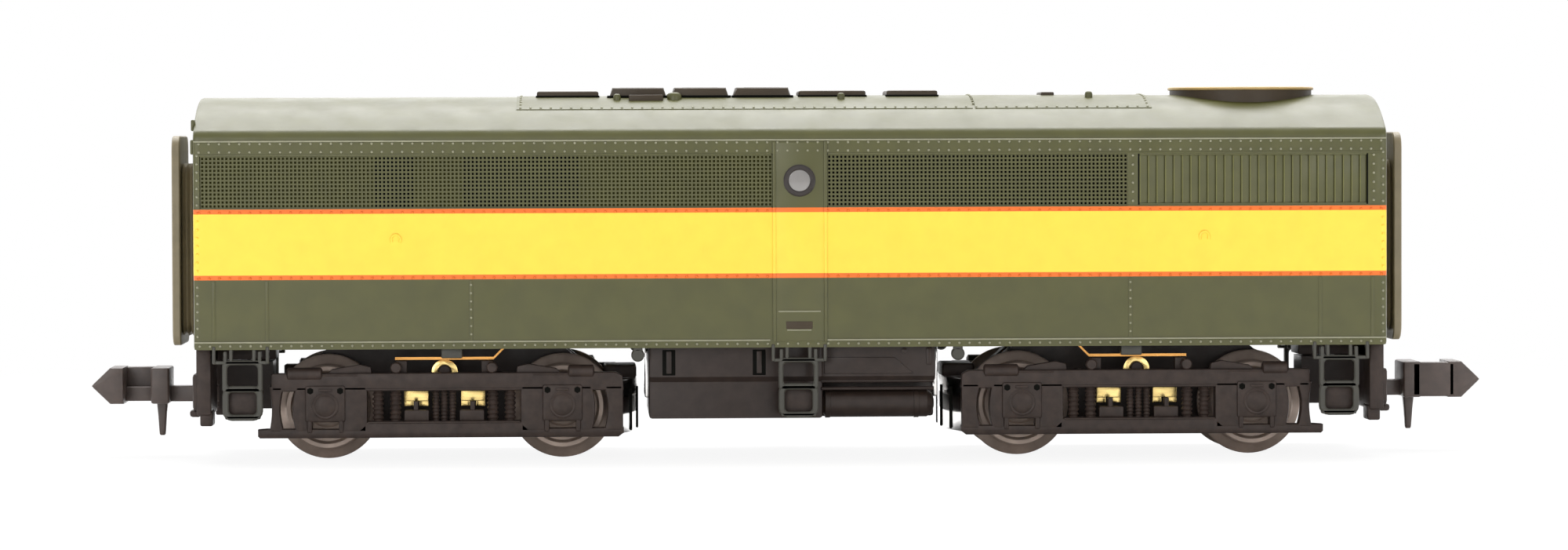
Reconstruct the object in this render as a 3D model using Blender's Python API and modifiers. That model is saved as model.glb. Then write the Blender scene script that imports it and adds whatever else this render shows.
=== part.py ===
"""Model diesel booster unit at 1:160 on 9 mm gauge wheels.

The body shell drops over a split metal chassis. A motor in the middle turns two flywheels and two
worms, and each worm drives the gear train of a swivelling truck. A hook coupler swings and lifts at
each end. X runs along the track, Y across it and Z up, with the wheel flanges standing on Z = 0.
"""
import math

import bmesh
import bpy
from mathutils import Matrix, Vector

MM = 0.001

# Fits between pieces
SLIDE_FIT = 0.06 * MM
SEAT_GAP = 0.15 * MM
RUNNING_GAP = 0.10 * MM

# Body shell
BODY_LENGTH = 89.6 * MM
BODY_WIDTH = 20.0 * MM
SILL_HEIGHT = 8.5 * MM
ROOF_CROWN = 27.5 * MM
EAVE_DROP = 3.45 * MM
ROOF_SHOULDER = 1.5 * MM
SHELL_WALL = 0.9 * MM
CLIP_LENGTH = 3.0 * MM
CLIP_HEIGHT = 4.0 * MM
CLIP_RISE = 3.5 * MM
CLIP_OFFSETS = (14.0 * MM, 36.5 * MM)

# Steps, ladders and pilots below the sill
STEP_PLATE = 0.6 * MM
STEP_SETBACK = 0.05 * MM
STEP_BOTTOM = 3.4 * MM
STEP_RAIL = 0.5 * MM
STEP_TREAD = 0.5 * MM
STEP_COUNT = 3
CORNER_STEP_WIDTH = 3.9 * MM
CORNER_STEP_INSET = 1.3 * MM
LADDER_CENTRE = 0.55 * MM
LADDER_WIDTH = 3.1 * MM
PILOT_BOTTOM = 3.1 * MM
PILOT_THICKNESS = 1.1 * MM
PILOT_SETBACK = 0.1 * MM
PILOT_WIDTH = 18.4 * MM
PILOT_GAP_WIDTH = 5.8 * MM
PILOT_GAP_TOP = 7.4 * MM

# Porthole in the side door
PORTHOLE_X = 0.52 * MM
PORTHOLE_Z = 21.0 * MM
PORTHOLE_RADIUS = 1.2 * MM
PORTHOLE_PROUD = 0.12 * MM

# Roof boxes, plates and fan
VENT_COUNT = 3
VENT_FIRST_X = -13.8 * MM
VENT_PITCH = 4.75 * MM
VENT_LENGTH = 4.6 * MM
VENT_TAPER = 0.35 * MM
VENT_WIDTH = 6.4 * MM
VENT_RISE = 0.65 * MM
ROOF_PLATES = ((-16.85 * MM, 4.7 * MM), (3.35 * MM, 5.1 * MM), (9.45 * MM, 3.9 * MM))
ROOF_PLATE_WIDTH = 5.6 * MM
ROOF_PLATE_RISE = 0.4 * MM
FAN_X = 35.0 * MM
FAN_RING_RADIUS = 5.45 * MM
FAN_RING_WALL = 0.55 * MM
FAN_RING_RISE = 0.4 * MM
FAN_RIM_RADIUS = 5.6 * MM
FAN_RIM_THICKNESS = 0.35 * MM
FAN_DEPTH = 1.0 * MM
FAN_HUB_RADIUS = 1.0 * MM

# End diaphragms
DIAPHRAGM_REACH = 2.05 * MM
DIAPHRAGM_PLATE = 0.6 * MM
DIAPHRAGM_WIDTH = 8.4 * MM
DIAPHRAGM_BOTTOM = 8.6 * MM
DIAPHRAGM_TOP = 24.5 * MM
DIAPHRAGM_BELLOWS_INSET = 0.7 * MM
DOORWAY_WIDTH = 4.6 * MM
DOORWAY_TOP = 21.4 * MM
DOORWAY_BOTTOM = 9.8 * MM

# Split chassis
FRAME_END_GAP = 1.9 * MM
FRAME_WIDTH = 16.0 * MM
FRAME_BOTTOM = 8.75 * MM
FRAME_HEADROOM = 3.5 * MM
FRAME_SPLIT = 0.6 * MM
BAY_LENGTH = 36.0 * MM
BAY_TOP = 20.6 * MM
SCREW_INSET = 4.5 * MM
SCREW_RADIUS = 0.9 * MM
SCREW_HEAD_RADIUS = 1.6 * MM
SCREW_HEAD_DEPTH = 1.0 * MM

# Motor and drive line
SHAFT_HEIGHT = 15.0 * MM
SHAFT_RADIUS = 0.75 * MM
MOTOR_LENGTH = 17.0 * MM
MOTOR_RADIUS = 5.0 * MM
MOTOR_WIDTH = 9.3 * MM
MOTOR_WALL = 0.9 * MM
ARMATURE_RADIUS = 3.3 * MM
ARMATURE_LENGTH = 9.0 * MM
COMMUTATOR_RADIUS = 1.6 * MM
COMMUTATOR_X = 6.3 * MM
COMMUTATOR_LENGTH = 1.8 * MM
BRUSH_RADIUS = 0.7 * MM
FLYWHEEL_RADIUS = 4.4 * MM
FLYWHEEL_LENGTH = 5.6 * MM
FLYWHEEL_X = 14.0 * MM
BEARING_SIZE = 3.0 * MM
BEARING_LENGTH = 2.0 * MM

# Trucks
TRUCK_X = 26.2 * MM
AXLE_SPACING = 17.78 * MM
AXLE_HEIGHT = 3.97 * MM
CASE_LENGTH = 24.6 * MM
CASE_WIDTH = 5.8 * MM
CASE_BOTTOM = 2.65 * MM
CASE_TOP = 8.55 * MM
CASE_END_WALL = 0.45 * MM
CASE_END_TOP = 5.6 * MM
CASE_END_SLOPE = 3.6 * MM
TOWER_LENGTH = 9.0 * MM
TOWER_WIDTH = 4.4 * MM
TOWER_TOP = 12.4 * MM
TRUNNION_RADIUS = 1.2 * MM
TRUNNION_SPAN = 6.6 * MM
SLOT_LENGTH = 10.6 * MM
SIDEFRAME_LENGTH = 27.0 * MM
SIDEFRAME_SPAN = 17.6 * MM
SIDEFRAME_THICKNESS = 1.3 * MM
SIDEFRAME_BOTTOM = 1.8 * MM
SIDEFRAME_TOP = 6.66 * MM
SIDEFRAME_END_TAPER = 0.8 * MM
SIDEFRAME_FOOT_REACH = 0.45 * MM
SIDEFRAME_FOOT_HEIGHT = 0.75 * MM
SIDEFRAME_TOP_SETBACK = 0.55 * MM
END_BEAM_THICKNESS = 0.5 * MM
END_BEAM_BOTTOM = 2.2 * MM
END_BEAM_TOP = 6.0 * MM
END_BEAM_BOW = 1.2 * MM
SPRING_WINDOW_LENGTH = 11.6 * MM
SPRING_WINDOW_BOTTOM = 3.0 * MM
SPRING_WINDOW_TOP = 5.4 * MM
SPRING_RADIUS = 0.38 * MM
SPRING_PLACES = (3.6 * MM, 4.9 * MM)
JOURNAL_WIDTH = 3.2 * MM
JOURNAL_HEIGHT = 3.3 * MM
JOURNAL_PROUD = 0.4 * MM
KEEPER_THICKNESS = 0.7 * MM
KEEPER_WIDTH = 5.0 * MM
CROSSBAR_LENGTH = 8.8 * MM

# Pickups
STRIP_THICKNESS = 0.3 * MM
STRIP_LENGTH = 19.4 * MM
STRIP_BOTTOM = 3.1 * MM
STRIP_TOP = 4.9 * MM
STRIP_TAB_WIDTH = 2.0 * MM
STRIP_TAB_TOP = 7.3 * MM
STRIP_SEAT_LENGTH = 0.9 * MM
WIPER_THICKNESS = 0.2 * MM
WIPER_LENGTH = 7.4 * MM
WIPER_WIDTH = 0.6 * MM
WIPER_HEIGHT = 7.6 * MM
WIPER_RAMP = 0.8 * MM
WIPER_POST_LENGTH = 0.8 * MM
WIPER_POST_X = 3.2 * MM

# Wheels
BACK_TO_BACK = 7.4 * MM
FLANGE_WIDTH = 0.6 * MM
TREAD_RADIUS = 3.2 * MM
TREAD_WIDTH = 1.6 * MM
TREAD_TAPER = 0.05 * MM
WHEEL_DISH = 0.3 * MM
WHEEL_RIM = 0.45 * MM
STUB_RADIUS = 0.55 * MM
STUB_LENGTH = 2.1 * MM
POINT_RADIUS = 0.5 * MM
POINT_LENGTH = 0.45 * MM
SLEEVE_RADIUS = 1.0 * MM

# Gears: module, tooth counts and widths
MODULE = 0.4 * MM
WORM_GEAR_TEETH = 16
IDLER_TEETH = 14
AXLE_GEAR_TEETH = 12
WORM_GEAR_WIDTH = 1.0 * MM
SPUR_WIDTH = 1.4 * MM
ADDENDUM = 0.72
DEDENDUM = 1.05
TOOTH_SHARE = 0.40
TIP_SHARE = 0.20
GEAR_PIN_RADIUS = 0.6 * MM
WORM_PITCH_RADIUS = 1.5 * MM
WORM_LENGTH = 8.4 * MM
WORM_TIP_WIDTH = 0.2 * MM
WORM_ROOT_WIDTH = 0.62 * MM
WORM_MESH_GAP = 0.05 * MM

# Couplers
COUPLER_POST_X = 40.3 * MM
COUPLER_POST_RADIUS = 0.55 * MM
COUPLER_BOX_LENGTH = 4.1 * MM
COUPLER_BOX_WIDTH = 4.2 * MM
COUPLER_BOX_BOTTOM = 3.7 * MM
COUPLER_BOX_HEIGHT = 3.6 * MM
COUPLER_BOX_WALL = 0.5 * MM
COUPLER_SHELF_LENGTH = 4.4 * MM
COUPLER_SHELF_THICKNESS = 0.9 * MM
HOOK_PIVOT_X = 41.9 * MM
HOOK_PIVOT_RADIUS = 0.42 * MM
SHANK_WIDTH = 1.4 * MM
SHANK_BOTTOM = 4.2 * MM
SHANK_HEIGHT = 1.2 * MM
HEAD_START = 47.3 * MM
HEAD_TIP = 53.2 * MM
HEAD_WIDTH = 4.4 * MM
HEAD_BOTTOM = 4.1 * MM
HEAD_TOP = 6.85 * MM
HEAD_BLOCK = 1.4 * MM
HEAD_BAR = 1.0 * MM
NOSE_LENGTH = 2.4 * MM
NOSE_FLAT = 1.0 * MM
FINGER_BOTTOM = 1.6 * MM
FINGER_WIDTH = 0.8 * MM
COIL_RADIUS = 0.5 * MM
COIL_WIRE = 0.1 * MM
COIL_TURNS = 3
COIL_X = 43.0 * MM

# Fuel tank and battery box
TANK_LENGTH = 21.6 * MM
TANK_WIDTH = 17.2 * MM
TANK_BOTTOM = 3.1 * MM
TANK_RIDGE = 5.85 * MM
TANK_SETBACK = 0.4 * MM
TANK_SPLIT_X = 2.3 * MM
AIR_TANK_RADIUS = 1.05 * MM

# How finely round pieces are cut
ROUND_COUNT = 20
WHEEL_ROUND_COUNT = 16
SMALL_ROUND_COUNT = 12
ROOF_STEP_COUNT = 12
SHOULDER_STEP_COUNT = 3
END_BEAM_STEP_COUNT = 8

# Worked out from the sizes above
EAVE_HEIGHT = ROOF_CROWN - EAVE_DROP
SHOULDER_MIDDLE = BODY_WIDTH / 2 - ROOF_SHOULDER
ROOF_RADIUS = (SHOULDER_MIDDLE ** 2 + EAVE_DROP ** 2 - ROOF_SHOULDER ** 2) / (
    2 * (EAVE_DROP - ROOF_SHOULDER))
ROOF_CENTRE = ROOF_CROWN - ROOF_RADIUS
FAN_RING_TOP = ROOF_CROWN + FAN_RING_RISE
FRAME_LENGTH = BODY_LENGTH - 2 * (SHELL_WALL + FRAME_END_GAP)
FRAME_TOP = ROOF_CROWN - FRAME_HEADROOM
SCREW_X = FRAME_LENGTH / 2 - SCREW_INSET
HALF_LENGTH = BODY_LENGTH / 2
HALF_WIDTH = BODY_WIDTH / 2
SIDE_INNER = HALF_WIDTH - SHELL_WALL
CASE_HALF_WIDTH = CASE_WIDTH / 2
GEAR_SLOT = SPUR_WIDTH / 2 + 2 * RUNNING_GAP
WHEEL_BACK = BACK_TO_BACK / 2
WHEEL_FACE = WHEEL_BACK + FLANGE_WIDTH + TREAD_WIDTH
POINT_END = WHEEL_FACE + POINT_LENGTH
STRIP_INNER = POINT_END + SEAT_GAP
STRIP_OUTER = STRIP_INNER + STRIP_THICKNESS
SIDEFRAME_OUTER = SIDEFRAME_SPAN / 2
SIDEFRAME_INNER = SIDEFRAME_OUTER - SIDEFRAME_THICKNESS
WORM_GEAR_RADIUS = MODULE * WORM_GEAR_TEETH / 2
WORM_GEAR_HEIGHT = SHAFT_HEIGHT - WORM_PITCH_RADIUS - WORM_GEAR_RADIUS - WORM_MESH_GAP
WORM_PITCH = math.pi * MODULE
WORM_SHAFT_START = FLYWHEEL_X + SLIDE_FIT
BEARING_OFFSET = SLOT_LENGTH / 2 + 2 * SEAT_GAP + BEARING_LENGTH / 2
WORM_SHAFT_END = TRUCK_X + BEARING_OFFSET + BEARING_LENGTH / 2 + SEAT_GAP
AXLE_OFFSET = AXLE_SPACING / 2
COUPLER_BOX_TOP = COUPLER_BOX_BOTTOM + COUPLER_BOX_HEIGHT
SHANK_TOP = SHANK_BOTTOM + SHANK_HEIGHT
HOOK_PIVOT_Z = SHANK_BOTTOM + SHANK_HEIGHT / 2

ENDS = (("left", -1), ("right", 1))
SIDES = (("near", -1), ("far", 1))


def clear_scene():
    """Remove what is in the scene and give back the collection for the pieces."""
    for item in list(bpy.data.objects):
        bpy.data.objects.remove(item, do_unlink=True)
    collection = bpy.data.collections.new("model_diesel_locomotive")
    bpy.context.scene.collection.children.link(collection)
    return collection


PIECES = clear_scene()


def material(name, colour, roughness, metallic=0.0):
    """A plain Principled material."""
    made = bpy.data.materials.new(name)
    made.use_nodes = True
    shader = made.node_tree.nodes["Principled BSDF"]
    shader.inputs["Base Color"].default_value = (*colour, 1.0)
    shader.inputs["Roughness"].default_value = roughness
    shader.inputs["Metallic"].default_value = metallic
    return made


OLIVE = material("olive paint", (0.07, 0.09, 0.045), 0.4)
BLACK = material("black plastic", (0.012, 0.012, 0.013), 0.35)
GREY = material("grey plastic", (0.05, 0.05, 0.055), 0.5)
GLASS = material("clear lens", (0.5, 0.55, 0.55), 0.1)
ZINC = material("cast zinc", (0.35, 0.35, 0.36), 0.45, 0.9)
STEEL = material("steel", (0.55, 0.55, 0.56), 0.25, 1.0)
DARK_STEEL = material("blackened wheel", (0.10, 0.10, 0.11), 0.3, 0.9)
BRASS = material("brass", (0.75, 0.53, 0.22), 0.25, 1.0)
COPPER = material("copper strip", (0.72, 0.36, 0.2), 0.3, 1.0)
NYLON = material("white nylon", (0.75, 0.74, 0.7), 0.5)
CARBON = material("carbon", (0.03, 0.03, 0.03), 0.6)


def as_object(bm):
    """Turn a bmesh into an object, with its faces pointing outwards."""
    bmesh.ops.recalc_face_normals(bm, faces=bm.faces)
    mesh = bpy.data.meshes.new("shape")
    bm.to_mesh(mesh)
    bm.free()
    made = bpy.data.objects.new("shape", mesh)
    PIECES.objects.link(made)
    return made


def baked(source, spent=()):
    """Make an object with modifiers, or a curve, into a plain mesh and remove what it used."""
    graph = bpy.context.evaluated_depsgraph_get()
    mesh = bpy.data.meshes.new_from_object(source.evaluated_get(graph))
    mesh.transform(source.matrix_world)
    bm = bmesh.new()
    bm.from_mesh(mesh)
    bmesh.ops.remove_doubles(bm, verts=bm.verts, dist=0.0005 * MM)
    open_edges = [edge for edge in bm.edges if edge.is_boundary]
    if open_edges:
        bmesh.ops.holes_fill(bm, edges=open_edges)
    bpy.data.meshes.remove(mesh)
    for used in (source, *spent):
        bpy.data.objects.remove(used, do_unlink=True)
    return as_object(bm)


def box(low, high):
    """A box between two corners."""
    low, high = Vector(low), Vector(high)
    bm = bmesh.new()
    bmesh.ops.create_cube(bm, size=1.0)
    bmesh.ops.scale(bm, vec=high - low, verts=bm.verts)
    bmesh.ops.translate(bm, vec=(low + high) / 2, verts=bm.verts)
    return as_object(bm)


def rod(radius, start, end, sides=SMALL_ROUND_COUNT):
    """A cylinder between two points."""
    start, end = Vector(start), Vector(end)
    along = end - start
    bm = bmesh.new()
    bmesh.ops.create_cone(bm, cap_ends=True, segments=sides, radius1=radius, radius2=radius,
                          depth=along.length)
    turn = Vector((0, 0, 1)).rotation_difference(along.normalized()).to_matrix().to_4x4()
    bmesh.ops.transform(bm, matrix=Matrix.Translation((start + end) / 2) @ turn, verts=bm.verts)
    return as_object(bm)


# How a flat outline drawn in its own XY plane is stood up in the model
PLANES = {
    "XZ": Matrix(((1, 0, 0, 0), (0, 0, -1, 0), (0, 1, 0, 0), (0, 0, 0, 1))),
    "YZ": Matrix(((0, 0, 1, 0), (1, 0, 0, 0), (0, 1, 0, 0), (0, 0, 0, 1))),
    "XY": Matrix.Identity(4),
}
NORMALS = {"XZ": Vector((0, 1, 0)), "YZ": Vector((1, 0, 0)), "XY": Vector((0, 0, 1))}


def prism(outline, plane, start, end):
    """A flat outline in the XZ, YZ or XY plane, made solid from start to end across it."""
    curve = bpy.data.curves.new("outline", "CURVE")
    curve.dimensions = "2D"
    curve.fill_mode = "BOTH"
    curve.extrude = abs(end - start) / 2
    spline = curve.splines.new("POLY")
    spline.points.add(len(outline) - 1)
    for point, (u, v) in zip(spline.points, outline):
        point.co = (u, v, 0, 1)
    spline.use_cyclic_u = True
    made = bpy.data.objects.new("outline", curve)
    made.matrix_world = Matrix.Translation(NORMALS[plane] * (start + end) / 2) @ PLANES[plane]
    PIECES.objects.link(made)
    bpy.context.view_layer.update()
    return baked(made)


def swept(profile, axis, steps, turns=1, pitch=0.0, closed=True):
    """A profile of (place along the axis, radius) pairs, turned round the X or Y axis."""
    count = len(profile)
    if axis == "X":
        points = [(along, 0, radius) for along, radius in profile]
    else:
        points = [(radius, along, 0) for along, radius in profile]
    edges = [(i, i + 1) for i in range(count - 1)]
    if closed:
        edges.append((count - 1, 0))
    mesh = bpy.data.meshes.new("profile")
    mesh.from_pydata(points, edges, [])
    made = bpy.data.objects.new("profile", mesh)
    PIECES.objects.link(made)
    screw = made.modifiers.new("Screw", "SCREW")
    screw.axis = axis
    screw.steps = steps
    screw.render_steps = steps
    screw.iterations = turns
    screw.screw_offset = pitch
    screw.use_merge_vertices = pitch == 0.0
    screw.merge_threshold = 0.0001 * MM
    bpy.context.view_layer.update()
    return baked(made)


def combined(base, tools, operation):
    """Join tools to a base, or cut them from it."""
    for tool in tools:
        step = base.modifiers.new(operation.title(), "BOOLEAN")
        step.operation = operation
        step.object = tool
    bpy.context.view_layer.update()
    return baked(base, tools)


def joined(base, *tools):
    return combined(base, tools, "UNION")


def cut(base, *tools):
    return combined(base, tools, "DIFFERENCE")


def moved(shape, x=0.0, y=0.0, z=0.0, turn_z=0.0):
    """Turn a shape about Z and then move it."""
    shape.data.transform(Matrix.Translation((x, y, z)) @ Matrix.Rotation(turn_z, 4, "Z"))
    return shape


def piece(name, shape, finish, origin=(0, 0, 0)):
    """Name a finished shape as a piece, with its origin where it turns or sits."""
    shape.name = name
    shape.data.name = name
    shape.data.transform(Matrix.Translation(-Vector(origin)))
    shape.location = origin
    shape.data.materials.append(finish)
    shape.data.shade_smooth()
    shape.data.set_sharp_from_angle(angle=math.radians(35))
    return shape


def roof_height(y):
    """Height of the outside of the roof at a distance from the middle."""
    return ROOF_CENTRE + math.sqrt(ROOF_RADIUS ** 2 - y ** 2)


def shell_section(inset, bottom):
    """Outline across the body: straight sides, a small shoulder and a round roof, set in by the wall."""
    half_width = HALF_WIDTH - inset
    shoulder = ROOF_SHOULDER - inset
    radius = ROOF_RADIUS - inset
    lean = math.atan2(EAVE_HEIGHT - ROOF_CENTRE, SHOULDER_MIDDLE)
    turns = [lean * i / SHOULDER_STEP_COUNT for i in range(SHOULDER_STEP_COUNT + 1)]
    right = [(SHOULDER_MIDDLE + shoulder * math.cos(a),
              EAVE_HEIGHT + shoulder * math.sin(a)) for a in turns]
    angles = [lean + (math.pi - 2 * lean) * i / ROOF_STEP_COUNT for i in range(1, ROOF_STEP_COUNT)]
    arch = [(radius * math.cos(a), ROOF_CENTRE + radius * math.sin(a)) for a in angles]
    left = [(-y, z) for y, z in reversed(right)]
    return [(-half_width, bottom), (half_width, bottom), *right, *arch, *left]


def step_ladder(centre, width, side):
    """Two rails and evenly spaced treads hanging from the sill, cut from one plate."""
    outer = side * (HALF_WIDTH - STEP_SETBACK)
    inner = side * (HALF_WIDTH - STEP_SETBACK - STEP_PLATE)
    low_y, high_y = min(inner, outer), max(inner, outer)
    left, right = centre - width / 2, centre + width / 2
    plate = box((left, low_y, STEP_BOTTOM), (right, high_y, SILL_HEIGHT + SHELL_WALL))
    pitch = (SILL_HEIGHT - STEP_BOTTOM) / STEP_COUNT
    gaps = []
    for i in range(STEP_COUNT):
        floor = STEP_BOTTOM + i * pitch
        # The top gap runs up behind the sill, where the shell's wall closes it.
        ceiling = floor + pitch if i < STEP_COUNT - 1 else SILL_HEIGHT + SHELL_WALL / 2
        gaps.append(box((left + STEP_RAIL, low_y - SHELL_WALL, floor + STEP_TREAD),
                        (right - STEP_RAIL, high_y + SHELL_WALL, ceiling)))
    return cut(plate, *gaps)


def pilot(end):
    """The end plate below the body, open in the middle, with the coupler's shelf and post."""
    face = HALF_LENGTH - PILOT_SETBACK
    outer = end * face
    inner = end * (face - PILOT_THICKNESS)
    low_x, high_x = min(inner, outer), max(inner, outer)
    plate = box((low_x, -PILOT_WIDTH / 2, PILOT_BOTTOM),
                (high_x, PILOT_WIDTH / 2, SILL_HEIGHT + SHELL_WALL))
    gap = box((low_x - SHELL_WALL, -PILOT_GAP_WIDTH / 2, PILOT_BOTTOM - SHELL_WALL),
              (high_x + SHELL_WALL, PILOT_GAP_WIDTH / 2, PILOT_GAP_TOP))
    plate = cut(plate, gap)
    shelf_end = end * (face - PILOT_THICKNESS / 2)
    shelf_start = end * (face - PILOT_THICKNESS - COUPLER_SHELF_LENGTH)
    shelf_low = COUPLER_BOX_TOP + SEAT_GAP
    shelf = box((min(shelf_start, shelf_end), -COUPLER_BOX_WIDTH / 2, shelf_low),
                (max(shelf_start, shelf_end), COUPLER_BOX_WIDTH / 2, shelf_low + COUPLER_SHELF_THICKNESS))
    post_x = end * COUPLER_POST_X
    post = rod(COUPLER_POST_RADIUS, (post_x, 0, COUPLER_BOX_BOTTOM), (post_x, 0, shelf_low + SEAT_GAP))
    return joined(plate, shelf, post)


def roof_fittings():
    """Vent boxes and plates that stand on the roof."""
    fittings = []
    for i in range(VENT_COUNT):
        low = VENT_FIRST_X + i * VENT_PITCH
        high = low + VENT_LENGTH
        base = roof_height(VENT_WIDTH / 2) - SHELL_WALL / 2
        top = ROOF_CROWN + VENT_RISE
        outline = [(low, base), (high, base), (high - VENT_TAPER, top), (low + VENT_TAPER, top)]
        fittings.append(prism(outline, "XZ", -VENT_WIDTH / 2, VENT_WIDTH / 2))
    half = ROOF_PLATE_WIDTH / 2
    for centre, length in ROOF_PLATES:
        fittings.append(box((centre - length / 2, -half, roof_height(half) - SHELL_WALL / 2),
                            (centre + length / 2, half, ROOF_CROWN + ROOF_PLATE_RISE)))
    return fittings


def body_shell():
    """The one-piece body moulding, open underneath."""
    shell = prism(shell_section(0.0, SILL_HEIGHT), "YZ", -HALF_LENGTH, HALF_LENGTH)
    hollow_end = HALF_LENGTH - SHELL_WALL
    hollow = prism(shell_section(SHELL_WALL, SILL_HEIGHT - SHELL_WALL), "YZ", -hollow_end, hollow_end)
    shell = cut(shell, hollow)
    added = roof_fittings()
    ring_low = roof_height(FAN_RING_RADIUS) - SHELL_WALL / 2
    added.append(rod(FAN_RING_RADIUS, (FAN_X, 0, ring_low), (FAN_X, 0, FAN_RING_TOP), ROUND_COUNT))
    corner = HALF_LENGTH - CORNER_STEP_INSET - CORNER_STEP_WIDTH / 2
    for _, side in SIDES:
        added.append(step_ladder(LADDER_CENTRE, LADDER_WIDTH, side))
        for _, end in ENDS:
            added.append(step_ladder(end * corner, CORNER_STEP_WIDTH, side))
            for offset in CLIP_OFFSETS:
                face = side * (FRAME_WIDTH / 2 + SLIDE_FIT)
                wall = side * (SIDE_INNER + SHELL_WALL / 2)
                low_z = SILL_HEIGHT + CLIP_RISE
                middle = end * offset
                added.append(box((middle - CLIP_LENGTH / 2, min(face, wall), low_z),
                                 (middle + CLIP_LENGTH / 2, max(face, wall), low_z + CLIP_HEIGHT)))
    for _, end in ENDS:
        added.append(pilot(end))
    shell = joined(shell, *added)
    bore = FAN_RING_RADIUS - FAN_RING_WALL
    fan_well = rod(bore, (FAN_X, 0, ring_low - 4 * SHELL_WALL), (FAN_X, 0, FAN_RING_TOP + SHELL_WALL),
                   ROUND_COUNT)
    hole = rod(PORTHOLE_RADIUS + SLIDE_FIT, (PORTHOLE_X, -BODY_WIDTH, PORTHOLE_Z),
               (PORTHOLE_X, BODY_WIDTH, PORTHOLE_Z))
    piece("body_shell", cut(shell, fan_well, hole), OLIVE)


def portholes():
    for side_name, side in SIDES:
        lens = rod(PORTHOLE_RADIUS, (PORTHOLE_X, side * SIDE_INNER, PORTHOLE_Z),
                   (PORTHOLE_X, side * (HALF_WIDTH + PORTHOLE_PROUD), PORTHOLE_Z))
        piece(f"porthole_{side_name}", lens, GLASS)


def roof_fan():
    """A rim that sits on the ring in the roof, with a dished floor and a hub."""
    spigot = FAN_RING_RADIUS - FAN_RING_WALL - SLIDE_FIT
    rim_low = FAN_RING_TOP + SLIDE_FIT
    rim_top = rim_low + FAN_RIM_THICKNESS
    low = rim_low - FAN_DEPTH
    floor = rim_low - FAN_DEPTH / 4
    profile = [(low, 0), (low, spigot), (rim_low, spigot), (rim_low, FAN_RIM_RADIUS),
               (rim_top, FAN_RIM_RADIUS),
               (rim_top, spigot), (floor, spigot - FAN_RIM_THICKNESS), (floor, FAN_HUB_RADIUS),
               (rim_low, FAN_HUB_RADIUS), (rim_low, 0)]
    fan = swept(profile, "X", ROUND_COUNT, closed=False)
    fan.data.transform(Matrix.Rotation(-math.pi / 2, 4, "Y"))
    piece("roof_fan", moved(fan, x=FAN_X), BLACK)


def diaphragms():
    """A face plate on a narrower bellows, with the doorway right through."""
    for end_name, end in ENDS:
        wall = end * (HALF_LENGTH + SLIDE_FIT)
        plate_in = end * (HALF_LENGTH + DIAPHRAGM_REACH - DIAPHRAGM_PLATE)
        plate_out = end * (HALF_LENGTH + DIAPHRAGM_REACH)
        half = DIAPHRAGM_WIDTH / 2
        inset = DIAPHRAGM_BELLOWS_INSET
        plate = box((min(plate_in, plate_out), -half, DIAPHRAGM_BOTTOM),
                    (max(plate_in, plate_out), half, DIAPHRAGM_TOP))
        bellows_end = end * (HALF_LENGTH + DIAPHRAGM_REACH - DIAPHRAGM_PLATE / 2)
        bellows = box((min(wall, bellows_end), inset - half, DIAPHRAGM_BOTTOM + inset),
                      (max(wall, bellows_end), half - inset, DIAPHRAGM_TOP - inset))
        doorway = box((min(wall, plate_out) - SHELL_WALL, -DOORWAY_WIDTH / 2, DOORWAY_BOTTOM),
                      (max(wall, plate_out) + SHELL_WALL, DOORWAY_WIDTH / 2, DOORWAY_TOP))
        piece(f"diaphragm_{end_name}", cut(joined(plate, bellows), doorway), BLACK)


def chassis_cutters():
    """Everything that both chassis halves are hollowed for."""
    below = FRAME_BOTTOM - SHELL_WALL
    bay = MOTOR_WIDTH / 2 + SEAT_GAP
    cutters = [box((-BAY_LENGTH / 2, -bay, below), (BAY_LENGTH / 2, bay, BAY_TOP))]
    channel = BEARING_SIZE / 2 + SLIDE_FIT
    worm_room = WORM_PITCH_RADIUS + MODULE + 2 * RUNNING_GAP
    for _, end in ENDS:
        centre = end * TRUCK_X
        slot = TRUNNION_SPAN / 2 + SEAT_GAP
        cutters.append(box((centre - SLOT_LENGTH / 2, -slot, below),
                           (centre + SLOT_LENGTH / 2, slot, SHAFT_HEIGHT - channel)))
        reach = (end * (BAY_LENGTH / 2 - SHELL_WALL), end * (WORM_SHAFT_END + SEAT_GAP))
        cutters.append(box((min(reach), -channel, SHAFT_HEIGHT - channel),
                           (max(reach), channel, SHAFT_HEIGHT + channel)))
        cutters.append(box((centre - SLOT_LENGTH / 2, -worm_room, SHAFT_HEIGHT - worm_room),
                           (centre + SLOT_LENGTH / 2, worm_room, SHAFT_HEIGHT + worm_room)))
        screw_x = end * SCREW_X
        cutters.append(rod(SCREW_RADIUS + SLIDE_FIT, (screw_x, -FRAME_WIDTH, SHAFT_HEIGHT),
                           (screw_x, FRAME_WIDTH, SHAFT_HEIGHT)))
        for _, side in SIDES:
            sink = side * (FRAME_WIDTH / 2 - SCREW_HEAD_DEPTH - SLIDE_FIT)
            cutters.append(rod(SCREW_HEAD_RADIUS + SLIDE_FIT, (screw_x, sink, SHAFT_HEIGHT),
                               (screw_x, side * FRAME_WIDTH, SHAFT_HEIGHT)))
    return cutters


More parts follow.
